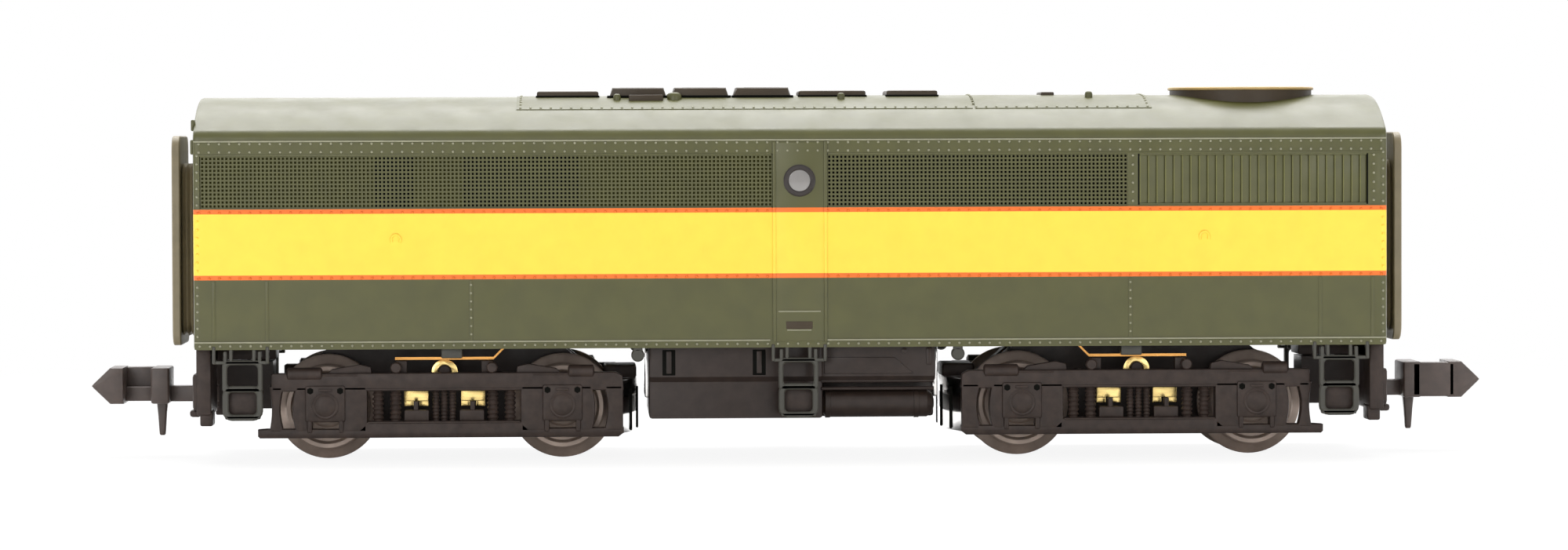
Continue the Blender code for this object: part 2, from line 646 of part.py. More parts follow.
def chassis():
    for side_name, side in SIDES:
        inner, outer = side * FRAME_SPLIT / 2, side * FRAME_WIDTH / 2
        half = box((-FRAME_LENGTH / 2, min(inner, outer), FRAME_BOTTOM),
                   (FRAME_LENGTH / 2, max(inner, outer), FRAME_TOP))
        piece(f"chassis_{side_name}", cut(half, *chassis_cutters()), ZINC)
    for end_name, end in ENDS:
        x = end * SCREW_X
        head = FRAME_WIDTH / 2 - SCREW_HEAD_DEPTH
        shank = rod(SCREW_RADIUS, (x, -head - SLIDE_FIT, SHAFT_HEIGHT),
                    (x, FRAME_WIDTH / 2, SHAFT_HEIGHT))
        cap = rod(SCREW_HEAD_RADIUS, (x, -FRAME_WIDTH / 2, SHAFT_HEIGHT), (x, -head, SHAFT_HEIGHT))
        piece(f"chassis_screw_{end_name}", joined(cap, shank), STEEL)


def motor():
    """Can with bearings at its ends, the armature that turns in it and two brushes."""
    half = MOTOR_LENGTH / 2
    bore = MOTOR_RADIUS - MOTOR_WALL
    bearing = SHAFT_RADIUS + RUNNING_GAP
    profile = [(-half, bearing), (-half, MOTOR_RADIUS), (half, MOTOR_RADIUS), (half, bearing),
               (half - MOTOR_WALL, bearing), (half - MOTOR_WALL, bore),
               (MOTOR_WALL - half, bore), (MOTOR_WALL - half, bearing)]
    can = moved(swept(profile, "X", ROUND_COUNT), z=SHAFT_HEIGHT)
    flats = []
    for _, side in SIDES:
        inner, outer = side * MOTOR_WIDTH / 2, side * MOTOR_WIDTH
        flats.append(box((-MOTOR_LENGTH, min(inner, outer), 0),
                         (MOTOR_LENGTH, max(inner, outer), FRAME_TOP)))
    guide = rod(BRUSH_RADIUS + SLIDE_FIT, (COMMUTATOR_X, -MOTOR_WIDTH, SHAFT_HEIGHT),
                (COMMUTATOR_X, MOTOR_WIDTH, SHAFT_HEIGHT))
    piece("motor_can", cut(can, *flats, guide), STEEL)

    for side_name, side in SIDES:
        brush = rod(BRUSH_RADIUS, (COMMUTATOR_X, side * (COMMUTATOR_RADIUS + RUNNING_GAP), SHAFT_HEIGHT),
                    (COMMUTATOR_X, side * (MOTOR_WIDTH / 2 + RUNNING_GAP), SHAFT_HEIGHT))
        piece(f"brush_{side_name}", brush, CARBON)

    core = ARMATURE_LENGTH / 2
    ring_start = COMMUTATOR_X - COMMUTATOR_LENGTH / 2
    ring_end = COMMUTATOR_X + COMMUTATOR_LENGTH / 2
    profile = [(-FLYWHEEL_X, 0), (-FLYWHEEL_X, SHAFT_RADIUS), (-core, SHAFT_RADIUS),
               (-core, ARMATURE_RADIUS),
               (core, ARMATURE_RADIUS), (core, SHAFT_RADIUS), (ring_start, SHAFT_RADIUS),
               (ring_start, COMMUTATOR_RADIUS), (ring_end, COMMUTATOR_RADIUS), (ring_end, SHAFT_RADIUS),
               (FLYWHEEL_X, SHAFT_RADIUS), (FLYWHEEL_X, 0)]
    armature = moved(swept(profile, "X", ROUND_COUNT, closed=False), z=SHAFT_HEIGHT)
    piece("armature", armature, STEEL, (0, 0, SHAFT_HEIGHT))


def worm_thread():
    """A single right-hand thread, with a thread centre half a pitch from the middle underneath."""
    turns = round(WORM_LENGTH / WORM_PITCH) - 1
    tip = WORM_PITCH_RADIUS + MODULE * ADDENDUM
    root = WORM_PITCH_RADIUS - MODULE * DEDENDUM
    sunk = (root + SHAFT_RADIUS) / 2
    # The sweep starts at the top, so the thread lies half a turn further on underneath.
    start = -turns * WORM_PITCH / 2
    lag = (start + WORM_PITCH / 2) % WORM_PITCH
    start += WORM_PITCH / 2 - lag
    profile = [(start - WORM_ROOT_WIDTH / 2, sunk), (start - WORM_TIP_WIDTH / 2, tip),
               (start + WORM_TIP_WIDTH / 2, tip), (start + WORM_ROOT_WIDTH / 2, sunk)]
    return swept(profile, "X", SMALL_ROUND_COUNT, turns, WORM_PITCH), root


def drive_line():
    """Flywheels, worm shafts and the blocks that the shafts turn in."""
    for end_name, end in ENDS:
        bore = SHAFT_RADIUS + SLIDE_FIT
        half = FLYWHEEL_LENGTH / 2
        profile = [(-half, bore), (-half, FLYWHEEL_RADIUS), (half, FLYWHEEL_RADIUS), (half, bore)]
        wheel = moved(swept(profile, "X", ROUND_COUNT), x=end * FLYWHEEL_X, z=SHAFT_HEIGHT)
        piece(f"flywheel_{end_name}", wheel, BRASS, (end * FLYWHEEL_X, 0, SHAFT_HEIGHT))

        thread, root = worm_thread()
        reach_in = end * (WORM_SHAFT_START - TRUCK_X)
        reach_out = end * (WORM_SHAFT_END - TRUCK_X)
        low, high = min(reach_in, reach_out), max(reach_in, reach_out)
        worm_half = WORM_LENGTH / 2
        profile = [(low, 0), (low, SHAFT_RADIUS), (-worm_half, SHAFT_RADIUS), (-worm_half, root),
                   (worm_half, root), (worm_half, SHAFT_RADIUS), (high, SHAFT_RADIUS), (high, 0)]
        worm = joined(swept(profile, "X", SMALL_ROUND_COUNT, closed=False), thread)
        piece(f"worm_shaft_{end_name}", moved(worm, x=end * TRUCK_X, z=SHAFT_HEIGHT), STEEL,
              (end * TRUCK_X, 0, SHAFT_HEIGHT))

        for place, way in (("inner", -1), ("outer", 1)):
            x = end * (TRUCK_X + way * BEARING_OFFSET)
            block = box((x - BEARING_LENGTH / 2, -BEARING_SIZE / 2, SHAFT_HEIGHT - BEARING_SIZE / 2),
                        (x + BEARING_LENGTH / 2, BEARING_SIZE / 2, SHAFT_HEIGHT + BEARING_SIZE / 2))
            hole = rod(SHAFT_RADIUS + RUNNING_GAP, (x - BEARING_LENGTH, 0, SHAFT_HEIGHT),
                       (x + BEARING_LENGTH, 0, SHAFT_HEIGHT))
            piece(f"bearing_{place}_{end_name}", cut(block, hole), NYLON)


def fuel_tank():
    """Battery box at the left and an air reservoir at the right of one moulding."""
    half = TANK_LENGTH / 2
    top = FRAME_BOTTOM - SEAT_GAP
    outer = TANK_WIDTH / 2
    inner = outer - TANK_SETBACK
    section = [(-inner, TANK_BOTTOM), (inner, TANK_BOTTOM), (inner, TANK_RIDGE),
               (outer, TANK_RIDGE + TANK_SETBACK),
               (outer, top), (-outer, top), (-outer, TANK_RIDGE + TANK_SETBACK), (-inner, TANK_RIDGE)]
    tank = prism(section, "YZ", -half, half)
    recess_y = inner - 2 * AIR_TANK_RADIUS
    recesses, reservoirs = [], []
    for _, side in SIDES:
        near, far = side * recess_y, side * TANK_WIDTH
        recesses.append(box((TANK_SPLIT_X, min(near, far), TANK_BOTTOM - SHELL_WALL),
                            (TANK_LENGTH, max(near, far), TANK_RIDGE)))
        centre = side * (inner - AIR_TANK_RADIUS - SLIDE_FIT)
        low = TANK_BOTTOM + AIR_TANK_RADIUS
        reservoirs.append(rod(AIR_TANK_RADIUS, (TANK_SPLIT_X - SLIDE_FIT, centre, low),
                              (half, centre, low)))
    piece("fuel_tank", joined(cut(tank, *recesses), *reservoirs), BLACK)


def gear_outline(teeth, first_tooth):
    """Slim straight teeth, with the centre of one at the given angle."""
    pitch_radius = MODULE * teeth / 2
    tip = pitch_radius + MODULE * ADDENDUM
    root = pitch_radius - MODULE * DEDENDUM
    step = 2 * math.pi / teeth
    outline = []
    for i in range(teeth):
        middle = first_tooth + i * step
        for radius, share in ((root, -TOOTH_SHARE), (tip, -TIP_SHARE), (tip, TIP_SHARE),
                              (root, TOOTH_SHARE)):
            angle = middle + share * step * 0.75
            outline.append((radius * math.cos(angle), radius * math.sin(angle)))
    return outline


def mating_angle(teeth, first_tooth, other_teeth, direction):
    """Angle of a tooth on the second gear, so that its gap takes the first gear's tooth."""
    return direction + math.pi - (math.pi - teeth * (direction - first_tooth)) / other_teeth


def idler_place():
    """Where the idler meshes with both the worm gear and the axle gear, low between them."""
    reach = MODULE * (WORM_GEAR_TEETH + IDLER_TEETH) / 2
    drop = MODULE * (IDLER_TEETH + AXLE_GEAR_TEETH) / 2
    across, down = AXLE_OFFSET, WORM_GEAR_HEIGHT - AXLE_HEIGHT
    span = math.hypot(across, down)
    along = (reach ** 2 - drop ** 2 + span ** 2) / (2 * span)
    aside = math.sqrt(reach ** 2 - along ** 2)
    x = (along * across - aside * down) / span
    z = WORM_GEAR_HEIGHT - (along * down + aside * across) / span
    return x, z


IDLER_X, IDLER_Z = idler_place()


def pinned_gear(teeth, first_tooth, width, pin_half):
    """A gear moulded with a pin through its middle, standing at the origin."""
    gear = prism(gear_outline(teeth, first_tooth), "XZ", -width / 2, width / 2)
    return joined(gear, rod(GEAR_PIN_RADIUS, (0, -pin_half, 0), (0, pin_half, 0)))


def wheel(side):
    """One wheel with the stub that goes into the sleeve and the point at its face."""
    flange = AXLE_HEIGHT
    tread_start = WHEEL_BACK + FLANGE_WIDTH
    hub = 2.5 * STUB_RADIUS
    rim = TREAD_RADIUS - WHEEL_RIM
    profile = [(WHEEL_BACK - STUB_LENGTH, 0), (WHEEL_BACK - STUB_LENGTH, STUB_RADIUS),
               (WHEEL_BACK, STUB_RADIUS),
               (WHEEL_BACK, flange), (WHEEL_BACK + FLANGE_WIDTH / 2, flange), (tread_start, TREAD_RADIUS),
               (WHEEL_FACE, TREAD_RADIUS - TREAD_TAPER), (WHEEL_FACE, rim),
               (WHEEL_FACE - WHEEL_DISH, rim),
               (WHEEL_FACE - WHEEL_DISH, hub), (WHEEL_FACE, hub), (WHEEL_FACE, POINT_RADIUS),
               (POINT_END, POINT_RADIUS), (POINT_END, 0)]
    return swept([(side * along, radius) for along, radius in profile], "Y", WHEEL_ROUND_COUNT,
                 closed=False)


def axle_gear(first_tooth):
    """Gear with a sleeve each side that is bored for the wheels' stubs."""
    sleeve_end = WHEEL_BACK - 2 * SEAT_GAP
    gear = prism(gear_outline(AXLE_GEAR_TEETH, first_tooth), "XZ", -SPUR_WIDTH / 2, SPUR_WIDTH / 2)
    gear = joined(gear, rod(SLEEVE_RADIUS, (0, -sleeve_end, 0), (0, sleeve_end, 0)))
    bores = []
    for _, side in SIDES:
        floor = WHEEL_BACK - STUB_LENGTH - SEAT_GAP
        bores.append(rod(STUB_RADIUS + SLIDE_FIT, (0, side * floor, 0), (0, side * WHEEL_BACK, 0)))
    return cut(gear, *bores)


def truck_case():
    """Gear case with sloped ends and a tower up to the worm, open down the middle for the gears."""
    half = CASE_LENGTH / 2
    crest = half - CASE_END_SLOPE
    outline = [(-half, CASE_BOTTOM), (half, CASE_BOTTOM), (half, CASE_END_TOP), (crest, CASE_TOP),
               (-crest, CASE_TOP), (-half, CASE_END_TOP)]
    case = prism(outline, "XZ", -CASE_HALF_WIDTH, CASE_HALF_WIDTH)
    tower = box((-TOWER_LENGTH / 2, -TOWER_WIDTH / 2, CASE_TOP - SHELL_WALL),
                (TOWER_LENGTH / 2, TOWER_WIDTH / 2, TOWER_TOP))
    span = TRUNNION_SPAN / 2
    trunnion = rod(TRUNNION_RADIUS, (0, -span, WORM_GEAR_HEIGHT), (0, span, WORM_GEAR_HEIGHT))
    case = joined(case, tower, trunnion)
    slot = half - CASE_END_WALL
    below = CASE_BOTTOM - SHELL_WALL
    cutters = [box((-slot, -GEAR_SLOT, below), (slot, GEAR_SLOT, TOWER_TOP + SHELL_WALL))]
    for x, z in ((0, WORM_GEAR_HEIGHT), (-IDLER_X, IDLER_Z), (IDLER_X, IDLER_Z)):
        cutters.append(rod(GEAR_PIN_RADIUS + RUNNING_GAP, (x, -CASE_WIDTH, z), (x, CASE_WIDTH, z)))
    journal = SLEEVE_RADIUS + RUNNING_GAP
    for _, way in ENDS:
        x = way * AXLE_OFFSET
        cutters.append(rod(journal, (x, -CASE_WIDTH, AXLE_HEIGHT), (x, CASE_WIDTH, AXLE_HEIGHT)))
        cutters.append(box((x - journal, -CASE_WIDTH, below), (x + journal, CASE_WIDTH, AXLE_HEIGHT)))
    return cut(case, *cutters)


def sideframe(side, inward):
    """One moulded side: a foot at the outer end, a spring window with columns, and journal boxes."""
    half = SIDEFRAME_LENGTH / 2
    corner = SIDEFRAME_END_TAPER / 2
    foot = -half - SIDEFRAME_FOOT_REACH
    ankle = SIDEFRAME_BOTTOM + SIDEFRAME_FOOT_HEIGHT
    heel = SIDEFRAME_TOP_SETBACK - half
    outline = [(foot, SIDEFRAME_BOTTOM), (half - corner, SIDEFRAME_BOTTOM),
               (half, SIDEFRAME_BOTTOM + corner),
               (half, SIDEFRAME_TOP - corner), (half - corner, SIDEFRAME_TOP), (heel, SIDEFRAME_TOP),
               (heel, ankle + SIDEFRAME_FOOT_HEIGHT), (foot, ankle)]
    outline = [(inward * along, height) for along, height in outline]
    inner, outer = side * SIDEFRAME_INNER, side * SIDEFRAME_OUTER
    plate = prism(outline, "XZ", min(inner, outer), max(inner, outer))
    window = SPRING_WINDOW_LENGTH / 2
    plate = cut(plate, box((-window, -SIDEFRAME_SPAN, SPRING_WINDOW_BOTTOM),
                           (window, SIDEFRAME_SPAN, SPRING_WINDOW_TOP)))
    added = []
    middle_y = side * (SIDEFRAME_INNER + SIDEFRAME_THICKNESS / 2)
    bite = SPRING_RADIUS / 2
    for place in SPRING_PLACES:
        for way in (-1, 1):
            x = way * place
            added.append(rod(SPRING_RADIUS, (x, middle_y, SPRING_WINDOW_BOTTOM - bite),
                             (x, middle_y, SPRING_WINDOW_TOP + bite), 8))
    proud = side * (SIDEFRAME_OUTER + JOURNAL_PROUD)
    seat = side * (STRIP_OUTER + SLIDE_FIT)
    for way in (-1, 1):
        x = way * AXLE_OFFSET
        added.append(box((x - JOURNAL_WIDTH / 2, min(middle_y, proud), AXLE_HEIGHT - JOURNAL_HEIGHT / 2),
                         (x + JOURNAL_WIDTH / 2, max(middle_y, proud), AXLE_HEIGHT + JOURNAL_HEIGHT / 2)))
        seat_x = way * (window + STRIP_SEAT_LENGTH)
        added.append(box((seat_x - STRIP_SEAT_LENGTH / 2, min(seat, middle_y), STRIP_BOTTOM),
                         (seat_x + STRIP_SEAT_LENGTH / 2, max(seat, middle_y), STRIP_TOP)))
        post = side * (STRIP_OUTER + SEAT_GAP)
        post_x = way * WIPER_POST_X
        added.append(box((post_x - WIPER_POST_LENGTH / 2, min(post, middle_y),
                          SPRING_WINDOW_TOP + 4 * bite),
                         (post_x + WIPER_POST_LENGTH / 2, max(post, middle_y), WIPER_HEIGHT - SLIDE_FIT)))
    return joined(plate, *added)


def truck_frame(inward):
    """Both sideframes on a crossbar and a bowed inner end beam, with the keeper plate under the axles."""
    keeper_top = SIDEFRAME_BOTTOM + KEEPER_THICKNESS
    middle_y = SIDEFRAME_OUTER - SIDEFRAME_THICKNESS / 2
    bar = box((-CROSSBAR_LENGTH / 2, -middle_y, SIDEFRAME_BOTTOM),
              (CROSSBAR_LENGTH / 2, middle_y, keeper_top))
    keeper = box((-CASE_LENGTH / 2, -KEEPER_WIDTH / 2, SIDEFRAME_BOTTOM),
                 (CASE_LENGTH / 2, KEEPER_WIDTH / 2, keeper_top))
    face = SIDEFRAME_LENGTH / 2 - SIDEFRAME_END_TAPER / 8
    outline = []
    for reach, way in ((face, 1), (face - END_BEAM_THICKNESS, -1)):
        for i in range(END_BEAM_STEP_COUNT + 1):
            share = way * (2 * i / END_BEAM_STEP_COUNT - 1)
            outline.append((inward * (reach + END_BEAM_BOW * (1 - share ** 2)), share * middle_y))
    beam = prism(outline, "XY", END_BEAM_BOTTOM, END_BEAM_TOP)
    frame = joined(bar, keeper, sideframe(-1, inward), sideframe(1, inward), beam)
    gear_room = MODULE * (AXLE_GEAR_TEETH / 2 + ADDENDUM) + RUNNING_GAP
    slots = []
    for way in (-1, 1):
        x = way * AXLE_OFFSET
        slots.append(box((x - gear_room, -GEAR_SLOT, 0),
                         (x + gear_room, GEAR_SLOT, keeper_top + SHELL_WALL)))
    return cut(frame, *slots)


def pickup_strip(side):
    """Brass strip behind a sideframe that bears on the wheel points, with a tab at the middle."""
    half, tab = STRIP_LENGTH / 2, STRIP_TAB_WIDTH / 2
    outline = [(-half, STRIP_BOTTOM), (half, STRIP_BOTTOM), (half, STRIP_TOP), (tab, STRIP_TOP)]
    centre = STRIP_TAB_TOP - tab
    outline += [(tab * math.cos(i * math.pi / 6),
                 centre + tab * math.sin(i * math.pi / 6)) for i in range(7)]
    outline += [(-tab, STRIP_TOP), (-half, STRIP_TOP)]
    inner, outer = side * STRIP_INNER, side * STRIP_OUTER
    return prism(outline, "XZ", min(inner, outer), max(inner, outer))


def wiper(side, inward):
    """Copper strip on the sideframe's post that rises at its inner end to the chassis."""
    half = WIPER_LENGTH / 2
    low, high = WIPER_HEIGHT, WIPER_HEIGHT + WIPER_THICKNESS
    rise = FRAME_BOTTOM - SEAT_GAP - high
    outline = [(-half, low), (half, low), (half + WIPER_RAMP, low + rise),
               (half + WIPER_RAMP, high + rise),
               (half, high), (-half, high)]
    inner = STRIP_OUTER + SEAT_GAP
    near, far = side * inner, side * (inner + WIPER_WIDTH)
    shape = prism(outline, "XZ", min(near, far), max(near, far))
    if inward < 0:
        shape.data.transform(Matrix.Scale(-1, 4, (1, 0, 0)))
        shape.data.flip_normals()
    return shape


def trucks():
    """Both trucks, each with its case, frame, pickups, gear train and wheels."""
    up = math.pi / 2
    for end_name, end in ENDS:
        centre = end * TRUCK_X
        swivel = (centre, 0, FRAME_BOTTOM)
        piece(f"truck_case_{end_name}", moved(truck_case(), x=centre), BLACK, swivel)
        piece(f"truck_frame_{end_name}", moved(truck_frame(-end), x=centre), BLACK, swivel)
        for side_name, side in SIDES:
            strip = moved(pickup_strip(side), x=centre)
            piece(f"pickup_strip_{end_name}_{side_name}", strip, BRASS, swivel)
            piece(f"wiper_{end_name}_{side_name}", moved(wiper(side, -end), x=centre), COPPER, swivel)

        top = (centre, 0, WORM_GEAR_HEIGHT)
        worm_gear = pinned_gear(WORM_GEAR_TEETH, up, WORM_GEAR_WIDTH, TOWER_WIDTH / 2)
        piece(f"worm_gear_{end_name}", moved(worm_gear, x=centre, z=WORM_GEAR_HEIGHT), NYLON, top)
        for axle_name, way in (("a", -1), ("b", 1)):
            to_idler = math.atan2(IDLER_Z - WORM_GEAR_HEIGHT, way * IDLER_X)
            idler_tooth = mating_angle(WORM_GEAR_TEETH, up, IDLER_TEETH, to_idler)
            idler = pinned_gear(IDLER_TEETH, idler_tooth, SPUR_WIDTH, CASE_HALF_WIDTH - SEAT_GAP)
            place = (centre + way * IDLER_X, 0, IDLER_Z)
            piece(f"idler_gear_{end_name}_{axle_name}", moved(idler, x=place[0], z=place[2]), NYLON,
                  place)

            to_axle = math.atan2(AXLE_HEIGHT - IDLER_Z, way * (AXLE_OFFSET - IDLER_X))
            axle_tooth = mating_angle(IDLER_TEETH, idler_tooth, AXLE_GEAR_TEETH, to_axle)
            place = (centre + way * AXLE_OFFSET, 0, AXLE_HEIGHT)
            gear = moved(axle_gear(axle_tooth), x=place[0], z=place[2])
            piece(f"axle_gear_{end_name}_{axle_name}", gear, NYLON, place)
            for side_name, side in SIDES:
                tyre = moved(wheel(side), x=place[0], z=place[2])
                piece(f"wheel_{end_name}_{axle_name}_{side_name}", tyre, DARK_STEEL, place)


def coupler_box():
    """Box that swings on the post, open to the outside for the hook's shank; drawn for the right end."""
    half = COUPLER_BOX_WIDTH / 2
    back = COUPLER_POST_X - COUPLER_POST_RADIUS - 2 * COUPLER_BOX_WALL / 3
    front = back + COUPLER_BOX_LENGTH
    block = box((back, -half, COUPLER_BOX_BOTTOM), (front, half, COUPLER_BOX_TOP))
    room_start = COUPLER_POST_X + COUPLER_POST_RADIUS + COUPLER_BOX_WALL / 2
    wall = COUPLER_BOX_WALL
    room = box((room_start, wall - half, COUPLER_BOX_BOTTOM + wall / 2),
               (front + wall, half - wall, COUPLER_BOX_TOP - wall))
    post = rod(COUPLER_POST_RADIUS + SLIDE_FIT, (COUPLER_POST_X, 0, 0), (COUPLER_POST_X, 0, SILL_HEIGHT))
    pivot = rod(HOOK_PIVOT_RADIUS + SLIDE_FIT, (HOOK_PIVOT_X, -COUPLER_BOX_WIDTH, HOOK_PIVOT_Z),
                (HOOK_PIVOT_X, COUPLER_BOX_WIDTH, HOOK_PIVOT_Z))
    return cut(block, room, post, pivot)


def coupler_hook():
    """Shank, pivot pin, cross block, side bar, wedge nose and drop finger; drawn for the right end."""
    half = HEAD_WIDTH / 2
    tail = HOOK_PIVOT_X - HOOK_PIVOT_RADIUS - SLIDE_FIT
    shank = box((tail, -SHANK_WIDTH / 2, SHANK_BOTTOM),
                (HEAD_START + HEAD_BLOCK / 2, SHANK_WIDTH / 2, SHANK_TOP))
    pin_half = COUPLER_BOX_WIDTH / 2 - SLIDE_FIT
    pin = rod(HOOK_PIVOT_RADIUS, (HOOK_PIVOT_X, -pin_half, HOOK_PIVOT_Z),
              (HOOK_PIVOT_X, pin_half, HOOK_PIVOT_Z))
    block = box((HEAD_START, -half, HEAD_BOTTOM), (HEAD_START + HEAD_BLOCK, half, HEAD_TOP))
    nose_start = HEAD_TIP - NOSE_LENGTH
    bar = box((HEAD_START + HEAD_BLOCK / 2, -half, HEAD_BOTTOM + SLIDE_FIT),
              (nose_start + NOSE_FLAT / 2, HEAD_BAR - half, HEAD_TOP - SLIDE_FIT))
    middle = (HEAD_BOTTOM + HEAD_TOP) / 2
    outline = [(nose_start, HEAD_BOTTOM), (nose_start + NOSE_FLAT, HEAD_BOTTOM), (HEAD_TIP, middle),
               (nose_start + NOSE_FLAT, HEAD_TOP), (nose_start, HEAD_TOP)]
    nose = prism(outline, "XZ", -half, half)
    finger_x = HEAD_START + HEAD_BLOCK / 2
    finger = box((finger_x - FINGER_WIDTH / 2, -FINGER_WIDTH / 2, FINGER_BOTTOM),
                 (finger_x + FINGER_WIDTH / 2, FINGER_WIDTH / 2, HEAD_BOTTOM + SLIDE_FIT))
    return joined(shank, pin, block, bar, nose, finger)


def coupler_coil():
    """Coil between the top of the shank and the roof of the box; drawn for the right end."""
    low = SHANK_TOP + COIL_WIRE + SLIDE_FIT
    high = COUPLER_BOX_TOP - COUPLER_BOX_WALL - COIL_WIRE - SLIDE_FIT
    per_turn = 8
    count = COIL_TURNS * per_turn
    curve = bpy.data.curves.new("coil", "CURVE")
    curve.dimensions = "3D"
    curve.bevel_depth = COIL_WIRE
    curve.bevel_resolution = 1
    curve.use_fill_caps = True
    spline = curve.splines.new("POLY")
    spline.points.add(count)
    for i, point in enumerate(spline.points):
        angle = 2 * math.pi * i / per_turn
        height = low + (high - low) * i / count
        point.co = (COIL_X + COIL_RADIUS * math.cos(angle), COIL_RADIUS * math.sin(angle), height, 1)
    made = bpy.data.objects.new("coil", curve)
    PIECES.objects.link(made)
    bpy.context.view_layer.update()
    return baked(made)


def couplers():
    for end_name, end in ENDS:
        half_turn = 0.0 if end > 0 else math.pi
        post = (end * COUPLER_POST_X, 0, COUPLER_BOX_BOTTOM)
        piece(f"coupler_box_{end_name}", moved(coupler_box(), turn_z=half_turn), BLACK, post)
        pivot = (end * HOOK_PIVOT_X, 0, HOOK_PIVOT_Z)
        piece(f"coupler_hook_{end_name}", moved(coupler_hook(), turn_z=half_turn), BLACK, pivot)
        piece(f"coupler_spring_{end_name}", moved(coupler_coil(), turn_z=half_turn), STEEL, post)


def main():
    body_shell()
    portholes()
    roof_fan()
    diaphragms()
    chassis()
    motor()
    drive_line()
    fuel_tank()
    trucks()
    couplers()


main()
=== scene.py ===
"""Model diesel booster unit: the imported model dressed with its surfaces, paint and studio.

Shapes are worked out in millimetres as grids of points and put into meshes in metres. X runs along
the track, Y across it with the near side at minus Y, and Z up from the rail.
"""

import math

import bmesh
import bpy
import numpy as np
from mathutils import Matrix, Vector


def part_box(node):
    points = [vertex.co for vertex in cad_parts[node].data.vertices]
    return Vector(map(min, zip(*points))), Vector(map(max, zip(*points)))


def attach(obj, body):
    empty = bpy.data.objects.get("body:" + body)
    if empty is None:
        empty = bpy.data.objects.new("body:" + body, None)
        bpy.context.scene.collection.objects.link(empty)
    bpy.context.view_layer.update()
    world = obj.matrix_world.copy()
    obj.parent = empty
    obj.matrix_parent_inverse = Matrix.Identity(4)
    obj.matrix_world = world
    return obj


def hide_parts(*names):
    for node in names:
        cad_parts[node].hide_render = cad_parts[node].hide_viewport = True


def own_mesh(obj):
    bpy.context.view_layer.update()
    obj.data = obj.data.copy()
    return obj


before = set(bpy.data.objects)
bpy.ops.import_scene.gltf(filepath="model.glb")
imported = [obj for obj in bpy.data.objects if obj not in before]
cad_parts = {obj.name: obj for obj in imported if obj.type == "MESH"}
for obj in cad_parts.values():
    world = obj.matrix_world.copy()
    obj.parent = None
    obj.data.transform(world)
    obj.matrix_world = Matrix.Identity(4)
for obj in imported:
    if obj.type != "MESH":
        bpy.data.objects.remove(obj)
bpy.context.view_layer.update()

bl_info = {
    "name": "Booster unit dressing",
    "version": (1, 0, 0),
    "blender": (4, 5, 0),
    "location": "View3D > Sidebar > Booster",
    "description": "Builds the surfaces, finishes and studio of a model diesel booster unit",
    "category": "Add Mesh",
}

MM = 0.001
ENDS = (("left", -1), ("right", 1))
SIDES = (("near", -1), ("far", 1))
FINISH_PREFIX = "finish_"

# The roof falls from its crown with this power of the distance across.
ROOF_POWER = 2.5

# Places on the body in millimetres. A grille's row gives its range and the ranges dark behind its mesh.
DOOR_X = (-1.5, 2.6)
LEDGE_Z = (19.0, 23.0)
GROOVE = 0.32
GRILLE_Z = (19.08, 22.92)
GRILLES = (((-44.24, -1.52), ((-31.2, -28.4), (-24.6, -15.95))),
           ((2.62, 25.2), ((0.0, 30.0),)))
SHUTTER_X = (26.1, 43.25)
SEAM_X = (-43.3, -39.33, 39.75, 43.7, -24.1, 25.4)
BEARER_X = (-14.0, -36.5, 14.0, 36.5)
KNOB_X = (-11.64, 12.44)
PORTHOLE = (0.52, 0, 21.0)
TANK_Y = 8.6

# Rivets: heights of the rows along a side, columns as x, low and high, and the lines round the hatches.
RIVET_ROWS = (23.88, 23.26, 18.74, 13.84, 8.78)
RIVET_COLUMNS = ((-44.5, 9.5, 23.0), (44.5, 9.5, 23.0), (43.8, 19.4, 22.8), (25.6, 19.4, 22.8),
                 (-24.1, 9.6, 13.3), (25.4, 9.6, 13.3))
COLUMN_PITCH = 0.62
HATCH_ROWS = (-20.4, 13.9, 27.1)
HATCH_RIVET_Y = 6.5

# Roof fan, and the knobs on the roof as x, y, radius and height.
FAN_X = 35.0
FAN_TOP = 27.98
ROOF_KNOBS = ((-8.75, -3.9, 0.55, 0.5), (-13.1, -4.2, 0.28, 0.45), (3.95, -4.0, 0.28, 0.45),
              (22.9, -3.6, 0.3, 0.45), (-8.75, 3.9, 0.55, 0.5), (3.95, 4.0, 0.28, 0.45))

# Truck outlines as (along, height), with the body's middle at plus, and other sizes of the trucks.
TOP_BEAM = ((-12.95, 5.3), (-12.95, 6.55), (-12.8, 6.66), (12.9, 6.66), (13.4, 6.4), (13.5, 5.3))
BOTTOM_BEAM = ((-13.8, 1.8), (13.1, 1.8), (13.5, 2.1), (13.5, 2.5), (6.4, 2.45), (5.7, 3.05), (-5.7, 3.05),
               (-6.4, 2.45), (-13.3, 2.5), (-13.95, 2.45), (-13.95, 1.95))
END_PLATE_Y = 8.15
WHEEL_WIDTH = 2.2

# Paint bands: the height that a ramp spans, the least |y| they reach, and each stop's height, colour, cover.
PAINT_TOP = 30.0
BAND_Y = 9.45
BAND_STOPS = ((0.0, "orange", 0.0), (13.66, "orange", 1.0), (14.02, "yellow", 1.0), (18.57, "orange", 1.0),
              (18.9, "orange", 0.0))

# Studio in metres and watts: name, place, aim, width, depth and power of each lamp.
WORLD_LEVEL = 0.42
LAMPS = (
    ("behind_above", (0.0, 0.20, 0.36), (0.0, 0.0, 0.02), 0.55, 0.34, 2.5),
    ("above", (0.0, 0.06, 0.40), (0.0, 0.0, 0.02), 0.50, 0.12, 1.3),
    ("behind_low", (0.0, 0.50, 0.16), (0.0, 0.0, 0.02), 1.2, 0.20, 0.9),
    ("front_left", (-0.18, -0.42, 0.14), (0.0, 0.0, 0.013), 0.30, 0.2, 0.55),
    ("front_right", (0.24, -0.38, 0.12), (0.0, 0.0, 0.013), 0.2, 0.2, 0.3),
)

